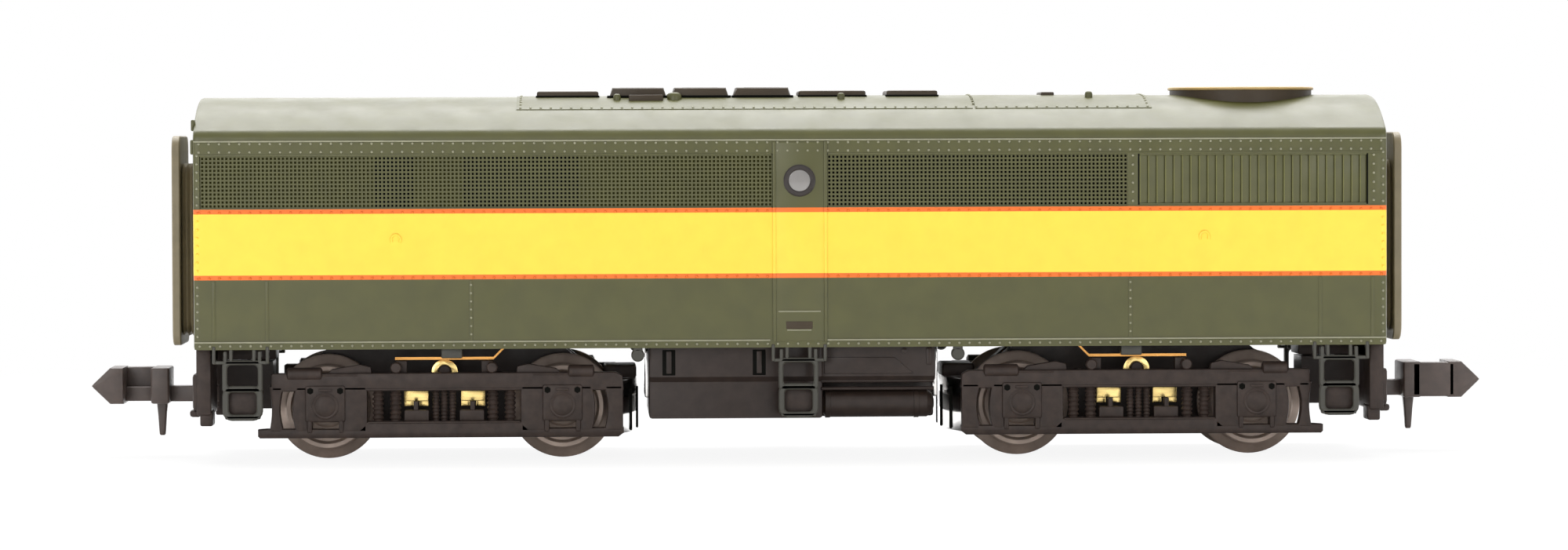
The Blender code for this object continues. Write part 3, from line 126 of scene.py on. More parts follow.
# Camera: its lens and place in millimetres, and its yaw, pitch and roll in degrees.
CAMERA_LENS = 115.9
CAMERA_PLACE = (-14.94, -388.2, 24.31)
CAMERA_TURN = (-2.162, -1.571, 0.192)


def length(label, text, millimetres):
    """A size of the model, shown in the sidebar as a length."""
    return bpy.props.FloatProperty(name=label, description=text, default=millimetres * MM,
                                   unit="LENGTH", subtype="DISTANCE", precision=5)


def tint(label, text, rgb):
    """A colour of the model, in linear light."""
    return bpy.props.FloatVectorProperty(name=label, description=text, default=rgb, size=3,
                                         min=0.0, max=1.0, subtype="COLOR")


class BodySizes(bpy.types.PropertyGroup):
    """Sizes of the body shell and what is moulded on it."""
    body_length: length("Body length", "Length over the end walls", 89.6)
    body_width: length("Body width", "Width over the sides", 20.0)
    sill: length("Sill height", "Underside of the body above the rail", 8.5)
    crown: length("Roof crown", "Top of the roof above the rail", 27.4)
    eave_drop: length("Eave drop", "From the crown down to where the side starts to turn in", 3.35)
    shoulder: length("Shoulder radius", "Radius between side and roof", 1.1)
    wall: length("Wall", "Thickness of the moulding", 0.9)
    rivet_pitch: length("Rivet pitch", "Distance between rivets in a row", 0.76)
    rivet_radius: length("Rivet radius", "Radius of one rivet head", 0.105)
    mesh_pitch: length("Mesh pitch", "Distance between the wires of the side grille", 0.3)
    mesh_hole: length("Mesh hole", "Width of one hole of the side grille", 0.17)
    slat_pitch: length("Slat pitch", "Distance between the upright shutters", 0.64)


class RunningSizes(bpy.types.PropertyGroup):
    """Sizes of the trucks, wheels and couplers."""
    truck_x: length("Truck place", "Middle of a truck from the middle of the body", 26.2)
    axle_offset: length("Axle offset", "Axle from the middle of its truck", 8.89)
    axle_height: length("Axle height", "Axle above the rail, which is the flange radius", 3.97)
    tread_radius: length("Tread radius", "Radius of the rolling tread", 3.2)
    wheel_back: length("Wheel back", "Back of a wheel from the middle line", 3.7)
    frame_outer: length("Sideframe face", "Outer face of a sideframe from the middle line", 8.8)
    frame_depth: length("Sideframe depth", "Thickness of a sideframe", 1.3)


class FinishColours(bpy.types.PropertyGroup):
    """Colours of the paints, plastics and metals."""
    olive: tint("Olive", "Body paint", (0.064, 0.063, 0.0135))
    yellow: tint("Yellow", "Broad band on the sides", (0.97, 0.66, 0.054))
    orange: tint("Orange", "Narrow lines beside the band", (0.78, 0.155, 0.009))
    # Painted highlight: a colour lighter than the olive, standing in for the light caught by rivet heads and
    # raised lines.
    pale: tint("Pale line", "Rivet heads and fine lines at eave and sill", (0.25, 0.245, 0.165))
    black: tint("Black", "Underframe plastic", (0.0270, 0.0180, 0.0145))
    shade: tint("Shade", "Behind meshes and slots", (0.006, 0.006, 0.005))
    # Painted shade: a dark brown for the roof lids, fan skirt and blades, the door's slot and roof plates
    # that lie in shade.
    umber: tint("Umber", "Roof lids, fan skirt and shaded plates", (0.042, 0.028, 0.014))
    # Painted highlight: the fan rim as it looks when lit from above.
    khaki: tint("Khaki", "Rim of the roof fan", (0.46, 0.31, 0.11))
    gangway: tint("Gangway", "Diaphragms at the ends", (0.21, 0.172, 0.10))
    step_grey: tint("Step grey", "Steps and their brackets", (0.034, 0.032, 0.023))
    brass: tint("Brass", "Pickup strips", (0.80, 0.60, 0.24))
    copper: tint("Copper", "Wiper strips", (0.62, 0.31, 0.09))
    zinc: tint("Zinc", "Cast chassis", (0.36, 0.37, 0.38))
    steel: tint("Steel", "Shafts, screws and springs", (0.50, 0.50, 0.49))
    wheel: tint("Wheel metal", "Blackened wheels", (0.40, 0.315, 0.265))
    nylon: tint("Nylon", "Gears", (0.70, 0.67, 0.58))
    carbon: tint("Carbon", "Motor brushes", (0.020, 0.020, 0.021))
    lens: tint("Lens", "Porthole glass", (0.21, 0.20, 0.19))
    polish: tint("Polish", "Bright plates at the ends of the tank and the trucks", (0.62, 0.61, 0.60))


def size(name):
    """A body or running size in millimetres."""
    scene = bpy.context.scene
    group = scene.booster_body if hasattr(scene.booster_body, name) else scene.booster_running
    return getattr(group, name) / MM


# Grids and sweeps

def skin(points, wrap_rows=False, caps=True):
    """Quads over a grid of points closed along its columns: point (r, c) joins (r + 1, c + 1).

    With wrap_rows the last row joins the first. With caps the first and last rows become faces.
    """
    rows, columns = points.shape[:2]
    index = np.arange(rows * columns).reshape(rows, columns)
    low, high = (index, np.roll(index, -1, 0)) if wrap_rows else (index[:-1], index[1:])
    quads = np.stack([low, np.roll(low, -1, 1), np.roll(high, -1, 1), high], -1).reshape(-1, 4)
    ends = [index[0][::-1], index[-1]] if caps and not wrap_rows else []
    return points.reshape(-1, 3), quads, ends


def carried(outlines, stations, axis):
    """Outlines stacked along an axis: row r lies at station r, its two values on the other axes."""
    points = np.empty((*outlines.shape[:2], 3))
    first, second = [k for k in range(3) if k != axis]
    points[..., first] = outlines[..., 0]
    points[..., second] = outlines[..., 1]
    points[..., axis] = np.asarray(stations, float)[:, None]
    return points


def rounded_rectangle(width, height, radius, steps=3):
    """Corner centres plus a radius times (cos, sin) over each quarter turn."""
    radius = min(radius, 0.49 * width, 0.49 * height)
    quarter = np.linspace(0, math.pi / 2, steps + 1)
    angle = (quarter[None, :] + np.arange(4)[:, None] * math.pi / 2).ravel()
    signs = np.repeat(np.array([[1, 1], [-1, 1], [-1, -1], [1, -1]]), steps + 1, 0)
    corner = np.array([width / 2 - radius, height / 2 - radius])
    return signs * corner + radius * np.stack([np.cos(angle), np.sin(angle)], 1)


def edge_rows(low, high, edge):
    """Insets and stations of a rounded edge at both ends: a quarter circle in three rows each."""
    turn = np.array([0.0, 0.5, 1.0]) * math.pi / 2
    inset = edge * (1 - np.sin(turn))
    rise = edge * (1 - np.cos(turn))
    return np.concatenate([inset, inset[::-1]]), np.concatenate([low + rise, high - rise[::-1]])


def slab(low, high, edge=0.07, axis=2):
    """A block with rounded edges: a rounded rectangle carried along an axis and drawn in at its ends."""
    low, high = np.minimum(low, high).astype(float), np.maximum(low, high).astype(float)
    others = [k for k in range(3) if k != axis]
    span = high - low
    edge = min(edge, 0.45 * span.min())
    insets, stations = edge_rows(low[axis], high[axis], edge)
    middle = ((low + high) / 2)[others]
    rings = np.stack([rounded_rectangle(span[others[0]] - 2 * i, span[others[1]] - 2 * i,
                                        max(edge - i, 0.3 * edge)) for i in insets])
    return skin(carried(rings + middle, stations, axis))


def block(x, y, z, edge=0.07, axis=2, side=1):
    """A slab from its ranges along the three axes, with the y range turned to one side of the body."""
    return slab((x[0], side * y[0], z[0]), (x[1], side * y[1], z[1]), edge, axis)


def sided(pairs, way):
    """Pairs whose first value is turned to one side or one end."""
    return [(way * first, second) for first, second in pairs]


def every(pairs, make, *values):
    """The parts that a function makes for each side or end, in one list."""
    return [part for _, way in pairs for part in make(way, *values)]


def inset_outline(outline, distance):
    """Corners moved in along the mean of their edges' normals so that each edge moves by the distance."""
    ahead = np.roll(outline, -1, 0) - outline
    normal = np.stack([-ahead[:, 1], ahead[:, 0]], 1) / np.linalg.norm(ahead, axis=1, keepdims=True)
    before = np.roll(normal, 1, 0)
    lean = 1 + (normal * before).sum(1, keepdims=True)
    return outline + distance * (normal + before) / np.maximum(lean, 0.4)


def prism(outline, low, high, axis, edge=0.07):
    """An outline carried straight along an axis, drawn in at both ends by a rounded edge."""
    outline = np.asarray(outline, float)
    ahead = np.roll(outline, -1, 0)
    if (outline[:, 0] * ahead[:, 1] - ahead[:, 0] * outline[:, 1]).sum() < 0:
        outline = outline[::-1]
    low, high = min(low, high), max(low, high)
    insets, stations = edge_rows(low, high, min(edge, 0.45 * (high - low)))
    rings = np.stack([inset_outline(outline, i) for i in insets])
    return skin(carried(rings, stations, axis))


def turned(profile, centre, axis, steps=40, closed=False):
    """(along, radius) pairs spun round an axis: along on it, radius times (cos, sin) across it."""
    profile = np.asarray(profile, float)
    angle = np.linspace(0, 2 * math.pi, steps, endpoint=False)
    first, second = [k for k in range(3) if k != axis]
    points = np.empty((len(profile), steps, 3))
    points[..., first] = centre[first] + profile[:, 1:] * np.cos(angle)
    points[..., second] = centre[second] + profile[:, 1:] * np.sin(angle)
    points[..., axis] = centre[axis] + profile[:, :1]
    return skin(points, wrap_rows=closed)


def tube(path, radius, sides=10, closed=False):
    """A circle carried along a path, square to the direction from the point before to the one after."""
    path = np.asarray(path, float)
    ahead = np.roll(path, -1, 0) - np.roll(path, 1, 0) if closed else np.gradient(path, axis=0)
    ahead = ahead / np.linalg.norm(ahead, axis=1, keepdims=True)
    up = np.eye(3)[np.abs(ahead).max(0).argmin()]
    across = np.cross(ahead, up)
    across = across / np.linalg.norm(across, axis=1, keepdims=True)
    lift = np.cross(across, ahead)
    angle = np.linspace(0, 2 * math.pi, sides, endpoint=False)[None, :, None]
    ring = np.cos(angle) * across[:, None] + np.sin(angle) * lift[:, None]
    return skin(path[:, None] + radius * ring, wrap_rows=closed)


def frame_ring(outer, inner, stations, axis):
    """A frame: the outer outlines run forward along the stations and the inner ones run back."""
    rows = np.concatenate([carried(outer, stations, axis), carried(inner, stations, axis)[::-1]])
    return skin(rows, wrap_rows=True)


def studs(centres, normals, radius, height):
    """Six-sided domes: rings of radius 1, 1, 0.75 and 0.35 at heights -0.4, 0.2, 0.75 and 1."""
    centres = np.atleast_2d(np.asarray(centres, float))
    normals = np.broadcast_to(np.asarray(normals, float), centres.shape)
    across = np.cross(normals, [1.0, 0.0, 0.0])
    short = np.linalg.norm(across, axis=1) < 0.1
    across[short] = np.cross(normals[short], [0.0, 1.0, 0.0])
    across = across / np.linalg.norm(across, axis=1, keepdims=True)
    lift = np.cross(normals, across)
    angle = np.arange(6) * math.pi / 3
    rings = radius * np.array([1, 1, 0.75, 0.35])[:, None]
    rise = height * np.array([-0.4, 0.2, 0.75, 1.0])
    points = (centres[:, None, None]
              + (rings * np.cos(angle))[None, ..., None] * across[:, None, None]
              + (rings * np.sin(angle))[None, ..., None] * lift[:, None, None]
              + rise[None, :, None, None] * normals[:, None, None])
    _, quads, ends = skin(np.zeros((4, 6, 3)))
    shift = np.arange(len(centres)) * 24
    walls = (quads[None] + shift[:, None, None]).reshape(-1, 4)
    lids = [list(lid) for end in ends for lid in (end[None] + shift[:, None])]
    return points.reshape(-1, 3), walls, lids


def mesh_panel(x_range, z_range, front, floor, back, dark):
    """A plate with square pits: each cell has a rim of four quads, four walls and a floor.

    Floors inside a dark x range take finish 1 and the others finish 2. The plate's back is flat.
    """
    pitch, hole = size("mesh_pitch"), size("mesh_hole")
    across = round((x_range[1] - x_range[0]) / pitch)
    up = round((z_range[1] - z_range[0]) / pitch)
    xs, zs = np.linspace(*x_range, across + 1), np.linspace(*z_range, up + 1)
    gx, gz = np.meshgrid(xs, zs, indexing="ij")
    lattice = np.stack([gx, np.full_like(gx, front), gz], -1).reshape(-1, 3)
    middle = np.stack([(gx[:-1, :-1] + gx[1:, 1:]) / 2, (gz[:-1, :-1] + gz[1:, 1:]) / 2], -1)
    turn = np.array([[-1, -1], [1, -1], [1, 1], [-1, 1]]) * hole / 2
    corners = middle[:, :, None] + turn
    rims = np.stack([corners[..., 0], np.full(corners.shape[:-1], front), corners[..., 1]], -1)
    pits = rims * [1, 0, 1] + [0, floor, 0]
    index = np.arange(len(lattice)).reshape(across + 1, up + 1)
    cell = np.stack([index[:-1, :-1], index[1:, :-1], index[1:, 1:], index[:-1, 1:]], -1)
    rim = (len(lattice) + np.arange(rims[..., 0].size)).reshape(cell.shape)
    pit = rim + rim.size
    sides = [np.stack([a, np.roll(a, -1, -1), np.roll(b, -1, -1), b], -1).reshape(-1, 4)
             for a, b in ((cell, rim), (rim, pit))]
    floors = pit.reshape(-1, 4)
    corner = np.array([[xs[0], back, zs[0]], [xs[-1], back, zs[0]], [xs[-1], back, zs[-1]],
                       [xs[0], back, zs[-1]]])
    points = np.concatenate([lattice, rims.reshape(-1, 3), pits.reshape(-1, 3), corner])
    base = len(points) - 4
    border = [[*index[:, 0], base + 1, base], [*index[-1, :], base + 2, base + 1],
              [*index[::-1, -1], base + 3, base + 2], [*index[0, ::-1], base, base + 3],
              [base, base + 1, base + 2, base + 3]]
    at = middle[..., 0].ravel()
    deep = np.zeros(at.shape, bool)
    for low, high in dark:
        deep |= (at > low) & (at < high)
    marks = np.concatenate([np.zeros(len(sides[0]) + len(sides[1]), int), np.where(deep, 1, 2),
                            np.zeros(5, int)])
    return points, np.concatenate([*sides, floors]), border, marks


def at_place(part, x=0.0, y=0.0, z=0.0, turn=False):
    """A part moved, and with turn first swung half round about Z."""
    points = part[0] * ([-1, -1, 1] if turn else [1, 1, 1]) + [x, y, z]
    return (points, *part[1:])


def inked(part, mark):
    """A part whose faces all take one of its piece's finishes."""
    return (*part[:3], np.full(len(part[1]) + len(part[2]), mark))


def gather(name, parts, finishes, body, nodes=(), crease=32):
    """One object from closed parts, facing outward, riding on a body in place of its CAD nodes."""
    points, faces, marks, start = [], [], [], 0
    for part in parts:
        points.append(part[0])
        faces += (part[1] + start).tolist()
        faces += [(np.asarray(lid) + start).tolist() for lid in part[2]]
        marks.append(part[3] if len(part) > 3 else np.zeros(len(part[1]) + len(part[2]), int))
        start += len(part[0])
    mesh = bpy.data.meshes.new(name)
    mesh.from_pydata((np.concatenate(points) * MM).tolist(), [], faces)
    work = bmesh.new()
    work.from_mesh(mesh)
    bmesh.ops.recalc_face_normals(work, faces=work.faces)
    work.to_mesh(mesh)
    work.free()
    mesh.polygons.foreach_set("material_index", np.concatenate(marks).astype(np.int32))
    mesh.shade_smooth()
    mesh.set_sharp_from_angle(angle=math.radians(crease))
    for finish in finishes:
        mesh.materials.append(bpy.data.materials[FINISH_PREFIX + finish])
    piece = bpy.data.objects.new(name, mesh)
    bpy.context.scene.collection.objects.link(piece)
    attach(piece, body)
    if nodes:
        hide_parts(*nodes)
    return piece


def shell_piece(name, parts, finishes, nodes=(), crease=32):
    """A piece of the body's shell, which rides on the chassis."""
    gather(name, parts, finishes, "chassis", nodes, crease)


# Finishes

class Sheet:
    """A material's node sheet, with short calls to add and join nodes."""

    def __init__(self, name):
        self.material = bpy.data.materials.new(FINISH_PREFIX + name)
        self.material.use_nodes = True
        self.tree = self.material.node_tree
        self.shader = self.tree.nodes["Principled BSDF"]
        self.place = self.add("ShaderNodeTexCoord").outputs["Object"]

    def add(self, kind, **values):
        """A new node with some of its settings."""
        node = self.tree.nodes.new(kind)
        for key, value in values.items():
            setattr(node, key, value)
        return node

    def join(self, source, target):
        """A link from one socket to another."""
        self.tree.links.new(source, target)

    def feed(self, value, target):
        """A link from another node's socket, or else a plain value."""
        if isinstance(value, bpy.types.NodeSocket):
            self.join(value, target)
        else:
            target.default_value = value

    def noise(self, scale, detail=3.0):
        """Noise over the place on the object."""
        node = self.add("ShaderNodeTexNoise")
        node.inputs["Scale"].default_value = scale
        node.inputs["Detail"].default_value = detail
        self.join(self.place, node.inputs["Vector"])
        return node.outputs["Fac"]

    def spread(self, source, low, high):
        """The middle of a noise stretched from low to high."""
        node = self.add("ShaderNodeMapRange")
        node.inputs["From Min"].default_value = 0.3
        node.inputs["From Max"].default_value = 0.7
        node.inputs["To Min"].default_value = low
        node.inputs["To Max"].default_value = high
        self.join(source, node.inputs["Value"])
        return node.outputs["Result"]

    def number(self, operation, first, second):
        """Arithmetic on two sockets or numbers."""
        node = self.add("ShaderNodeMath", operation=operation)
        for target, value in zip(node.inputs, (first, second)):
            self.feed(value, target)
        return node.outputs[0]

    def blend(self, factor, first, second, how="MIX"):
        """Two colours or colour sockets put together by a factor, mixed unless how says otherwise."""
        node = self.add("ShaderNodeMix", data_type="RGBA", blend_type=how)
        colours = [socket for socket in node.inputs if socket.type == "RGBA"]
        for target, value in zip((node.inputs["Factor"], *colours), (factor, first, second)):
            self.feed(value, target)
        return [socket for socket in node.outputs if socket.type == "RGBA"][0]


def shaded(rgb, factor):
    """A colour made lighter or darker, as a node value."""
    return (*[min(1.0, c * factor) for c in rgb], 1.0)


def mottled(sheet, rgb, mottle, grain):
    """Two tones of a colour mixed by noise."""
    tone = sheet.spread(sheet.noise(grain), 0.0, 1.0)
    return sheet.blend(tone, shaded(rgb, 1 - mottle), shaded(rgb, 1 + mottle))


def surface(sheet, roughness, metallic, grain, relief, specular=0.5):
    """Roughness that drifts with one noise and a fine bump from another."""
    drift = sheet.spread(sheet.noise(grain * 0.6), roughness - 0.06, roughness + 0.07)
    sheet.join(drift, sheet.shader.inputs["Roughness"])
    sheet.shader.inputs["Metallic"].default_value = metallic
    sheet.shader.inputs["Specular IOR Level"].default_value = specular
    bump = sheet.add("ShaderNodeBump")
    bump.inputs["Strength"].default_value = 0.35
    bump.inputs["Distance"].default_value = relief * MM
    sheet.join(sheet.noise(grain * 3.0, 2.0), bump.inputs["Height"])
    sheet.join(bump.outputs["Normal"], sheet.shader.inputs["Normal"])


def plain_finish(name, rgb, roughness, metallic=0.0, mottle=0.1, grain=900.0, relief=0.01, specular=0.5):
    """A finish of one colour with mottling, drifting gloss and fine relief."""
    sheet = Sheet(name)
    sheet.join(mottled(sheet, tuple(rgb), mottle, grain), sheet.shader.inputs["Base Color"])
    surface(sheet, roughness, metallic, grain, relief, specular)
    return sheet


def brushed_finish(name, rgb, roughness):
    """Rolled or cast metal: fine streaks along X over the mottled colour."""
    sheet = Sheet(name)
    streak = sheet.add("ShaderNodeMapping")
    streak.inputs["Scale"].default_value = (0.12, 1.0, 1.0)
    sheet.join(sheet.place, streak.inputs["Vector"])
    lines = sheet.add("ShaderNodeTexNoise")
    lines.inputs["Scale"].default_value = 6000.0
    sheet.join(streak.outputs["Vector"], lines.inputs["Vector"])
    tone = sheet.spread(lines.outputs["Fac"], 0.0, 1.0)
    colour = sheet.blend(tone, shaded(rgb, 0.82), shaded(rgb, 1.12))
    sheet.join(colour, sheet.shader.inputs["Base Color"])
    surface(sheet, roughness, 1.0, 1200.0, 0.006)
    return sheet


def body_paint(name, colours):
    """Olive satin paint with the side bands: z picks the band and |y| keeps it on the sides."""
    sheet = Sheet(name)
    olive = mottled(sheet, tuple(colours.olive), 0.09, 500.0)
    parts = sheet.add("ShaderNodeSeparateXYZ")
    sheet.join(sheet.place, parts.inputs[0])
    height = sheet.add("ShaderNodeMapRange")
    height.inputs["From Max"].default_value = PAINT_TOP * MM
    sheet.join(parts.outputs["Z"], height.inputs["Value"])
    ramp = sheet.add("ShaderNodeValToRGB")
    ramp.color_ramp.interpolation = "CONSTANT"
    for number, (at, colour, cover) in enumerate(BAND_STOPS):
        stop = ramp.color_ramp.elements[number] if number < 2 else ramp.color_ramp.elements.new(0.99)
        stop.position = at / PAINT_TOP
        stop.color = (*getattr(colours, colour), cover)
    sheet.join(height.outputs["Result"], ramp.inputs["Fac"])
    out = sheet.number("ABSOLUTE", parts.outputs["Y"], 0.0)
    side = sheet.number("GREATER_THAN", out, BAND_Y * MM)
    painted = sheet.number("MULTIPLY", ramp.outputs["Alpha"], side)
    wear = sheet.spread(sheet.noise(700.0, 4.0), 0.94, 1.0)
    band = sheet.blend(1.0, ramp.outputs["Color"], wear, "MULTIPLY")
    sheet.join(sheet.blend(painted, olive, band), sheet.shader.inputs["Base Color"])
    surface(sheet, 0.37, 0.0, 700.0, 0.012)
    return sheet


def make_finishes():
    """Every paint, plastic and metal of the model."""
    colours = bpy.context.scene.booster_colours
    body_paint("side_paint", colours)
    plain_finish("olive_paint", colours.olive, 0.42, grain=600.0)
    plain_finish("step_grey", colours.step_grey, 0.42, grain=700.0)
    plain_finish("gangway", colours.gangway, 0.45, grain=700.0)
    # Painted shade for the lids, fan skirt and blades, slot and roof plates.
    plain_finish("umber", colours.umber, 0.45, grain=700.0, specular=0.3)
    # Painted highlight on the fan rim.
    plain_finish("khaki", colours.khaki, 0.40, grain=700.0)
    # Painted highlight on rivet heads and raised lines.
    plain_finish("pale_paint", colours.pale, 0.45, grain=900.0)
    plain_finish("black_plastic", colours.black, 0.36, mottle=0.2, grain=1100.0, relief=0.015,
                 specular=0.25)
    plain_finish("frame_plastic", [1.25 * c for c in colours.black], 0.48, mottle=0.25, grain=1500.0,
                 relief=0.02, specular=0.25)
    plain_finish("coupler_plastic", [2.0 * c for c in colours.black], 0.42, mottle=0.2, grain=1100.0)
    plain_finish("polish", colours.polish, 0.14, 1.0, 0.05, 800.0, 0.002)
    # A lit copy of the olive: painted highlight along the shutters' ridges.
    plain_finish("edge_paint", [1.7 * c for c in colours.olive], 0.42, grain=600.0)
    plain_finish("deep_shade", colours.shade, 0.9, specular=0.05)
    plain_finish("mesh_shade", [0.85 * c for c in colours.olive], 0.7, specular=0.1)
    plain_finish("gasket", [0.6 * c for c in colours.black], 0.30, grain=1500.0)
    plain_finish("wheel_metal", colours.wheel, 0.36, 0.4, 0.15, 800.0, 0.008)
    plain_finish("nylon", colours.nylon, 0.5, grain=900.0)
    plain_finish("carbon", colours.carbon, 0.6, grain=2500.0)
    plain_finish("zinc", colours.zinc, 0.42, 0.85, 0.12, 1500.0, 0.02)
    brushed_finish("brass", colours.brass, 0.26)
    brushed_finish("copper", colours.copper, 0.28)
    brushed_finish("steel", colours.steel, 0.30)
    lens = plain_finish("lens", colours.lens, 0.12, grain=400.0, relief=0.002)
    lens.shader.inputs["Coat Weight"].default_value = 0.8


# Body shell

def roof_joint():
    """Where the shoulder's slope equals the roof curve's, found by halving: angle, place across, fall."""
    drop, shoulder = size("eave_drop"), size("shoulder")
    middle = size("body_width") / 2 - shoulder
    low, high = 0.1, 1.5
    for _ in range(50):
        lean = (low + high) / 2
        fall = drop - shoulder * math.sin(lean)
        out = middle + shoulder * math.cos(lean)
        if ROOF_POWER * fall / out * math.tan(lean) > 1:
            high = lean
        else:
            low = lean
    return lean, out, fall


def roof_at(y):
    """Height of the roof: the crown less a fall that grows with a power of the distance across."""
    _, out, fall = roof_joint()
    return size("crown") - fall * (np.abs(y) / out) ** ROOF_POWER


def roof_normals(y):
    """Directions square to the roof curve, from its slope."""
    _, out, fall = roof_joint()
    slope = -ROOF_POWER * fall / out * (np.abs(y) / out) ** (ROOF_POWER - 1) * np.sign(y)
    return np.stack([-slope, np.ones_like(slope)], 1) / np.sqrt(1 + slope ** 2)[:, None]


def roof_path(inset):
    """From the right eave over the roof to the left: the shoulder's arc, the roof curve, the arc again."""
    lean, out, _ = roof_joint()
    eave = size("crown") - size("eave_drop")
    middle = size("body_width") / 2 - size("shoulder")
    small = size("shoulder") - inset
    turn = np.linspace(0, lean, 10)
    right = np.stack([middle + small * np.cos(turn), eave + small * np.sin(turn)], 1)
    over = np.linspace(out, -out, 44)[1:-1]
    arch = np.stack([over, roof_at(over)], 1) - inset * roof_normals(over)
    return np.concatenate([right, arch, right[::-1] * [-1, 1]])


def hull_outline(groove):
    """Section across the body: sides with a groove for the meshes, the roof, and the inner wall back."""
    half, sill, wall = size("body_width") / 2, size("sill"), size("wall")
    low, high = LEDGE_Z
    side = np.array([[half, sill], [half, low - 0.02], [half - groove, low], [half - groove, high],
                     [half, high + 0.02]])
    outer = np.concatenate([side, roof_path(0.0), side[::-1] * [-1, 1]])
    inner = np.concatenate([[[half - wall, sill]], roof_path(wall), [[wall - half, sill]]])
    return np.concatenate([outer, inner[::-1]])


def end_outline(inset):
    """Section of an end wall: the hull's outside drawn in and closed along the sill."""
    half, sill = size("body_width") / 2 - inset, size("sill")
    return np.concatenate([[[half, sill]], roof_path(inset), [[-half, sill]]])


def side_spots():
    """Rivet places on one side as (x, z): rows along it and columns at its seams, none on the door."""
    reach = size("body_length") / 2 - 0.45
    along = np.linspace(-reach, reach, int(round(2 * reach / size("rivet_pitch"))) + 1)
    rows = [np.stack([along, np.full_like(along, z)], 1) for z in RIVET_ROWS]
    for x, low, high in RIVET_COLUMNS:
        up = np.linspace(low, high, int(round((high - low) / COLUMN_PITCH)) + 1)
        rows.append(np.stack([np.full_like(up, x), up], 1))
    spots = np.concatenate(rows)
    x, z = spots.T
    on_door = (x > DOOR_X[0] + 0.3) & (x < DOOR_X[1] - 0.3) & (z > 8.9) & (z < 23.1)
    return spots[~on_door]


def roof_spots():
    """Rivet places on the roof as (x, y): two rows along the hatches and three rows across them."""
    along = np.linspace(HATCH_ROWS[0], HATCH_ROWS[-1], 63)
    across = np.linspace(-HATCH_RIVET_Y, HATCH_RIVET_Y, 18)[1:-1]
    rows = [np.stack([along, np.full_like(along, y)], 1) for y in (-HATCH_RIVET_Y, HATCH_RIVET_Y)]
    rows += [np.stack([np.full_like(across, x), across], 1) for x in HATCH_ROWS]
    return np.concatenate(rows)


def rivet_places():
    """Places and directions of every rivet: square to the sides and to the roof curve."""
    half = size("body_width") / 2
    flat, roof = side_spots(), roof_spots()
    places, ways = [], []
    for _, side in SIDES:
        places.append(np.stack([flat[:, 0], np.full(len(flat), side * half), flat[:, 1]], 1))
        ways.append(np.tile([0.0, side, 0.0], (len(flat), 1)))
    places.append(np.stack([roof[:, 0], roof[:, 1], roof_at(roof[:, 1]) + 0.03], 1))
    ways.append(np.insert(roof_normals(roof[:, 1]), 0, 0.0, axis=1))
    return np.concatenate(places), np.concatenate(ways)


def window_frame(x_range, z_range, bar, y_range, radius):
    """A flat frame with rounded corners and edges: outer and inner rounded rectangles across a depth."""
    x_range, y_range = sorted(x_range), sorted(y_range)
    edge = 0.08
    middle = [sum(x_range) / 2, sum(z_range) / 2]
    wide, tall = x_range[1] - x_range[0], z_range[1] - z_range[0]
    stations = [y_range[0], y_range[0] + edge, y_range[1] - edge, y_range[1]]
    outer, inner = [], []
    for draw in (edge, 0.0, 0.0, edge):
        outer.append(rounded_rectangle(wide - 2 * draw, tall - 2 * draw, radius, 4) + middle)
        rim = 2 * (bar - draw)
        inner.append(rounded_rectangle(wide - rim, tall - rim, 0.3, 4) + middle)
    return frame_ring(np.stack(outer), np.stack(inner), stations, 1)


def step_parts(frame_x, hanger_x, side):
    """Two frames one above the other hang from posts at the sill, with treads and a back to the lower."""
    depth = (side * 9.98, side * 9.4)
    inside = (min(frame_x) + 0.2, max(frame_x) - 0.2)
    parts = [window_frame(frame_x, (5.32, 7.72), 0.36, depth, 0.25),
             window_frame(frame_x, (3.2, 5.8), 0.46, depth, 0.7)]
    parts += [block(inside, (9.98, 9.05), (z, z + 0.3), 0.08, 0, side) for z in (3.3, 5.36, 7.4)]
    parts.append(inked(block(inside, (9.05, 9.3), (3.35, 5.5), 0.06, 1, side), 1))
    for post, rail in zip(hanger_x, frame_x):
        way = 1 if rail > post else -1
        parts += [block((post, post + way * 0.26), (9.55, 10.08), (7.45, 8.75), 0.08, side=side),
                  block((post, rail + way * 0.3), (9.6, 10.02), (7.42, 7.68), 0.08, side=side),
                  block((rail + way * 0.06, rail + way * 0.36), (9.5, 10.0), (7.5, 8.4), 0.1, side=side),
                  block((rail + way * 0.5, rail + way * 0.78), (9.5, 9.95), (7.5, 8.7), 0.08, side=side)]
    return parts


def pilot_parts(end):
    """End plate in two leaves under a bridge, with the coupler's shelf and post behind it."""
    plate = (end * 43.6, end * 44.7)
    post = [(3.7, 0.3), (3.85, 0.55), (7.6, 0.55)]
    parts = [block(plate, (-9.0, 9.0), (7.4, 8.7), 0.12, 0),
             block((end * 39.2, end * 44.1), (-2.1, 2.1), (7.45, 8.35), 0.1),
             turned(post, (end * 40.3, 0, 0), 2, 24)]
    for _, side in SIDES:
        parts += [block(plate, (2.9, 9.2), (3.55, 8.7), 0.16, 0, side),
                  block((end * 43.5, end * 44.45), (6.6, 9.0), (2.75, 3.9), 0.14, 0, side),
                  block((end * 44.4, end * 45.25), (7.0, 8.6), (3.42, 3.95), 0.2, 0, side),
                  block((end * 44.4, end * 45.0), (4.4, 9.0), (3.9, 6.7), 0.26, 0, side)]
    return parts


def knob_parts(x, side):
    """A round lug under the sill: a disc across the body and a neck up to the shell."""
    depth = (8.95, 9.6)
    disc = [(depth[0], 0.4), (depth[0] + 0.08, 0.5), (depth[1] - 0.08, 0.5), (depth[1], 0.4)]
    return [turned(sided(disc, side), (x, 0, 7.95), 1, 28),
            block((x - 0.36, x + 0.36), depth, (8.2, 8.75), 0.1, side=side)]


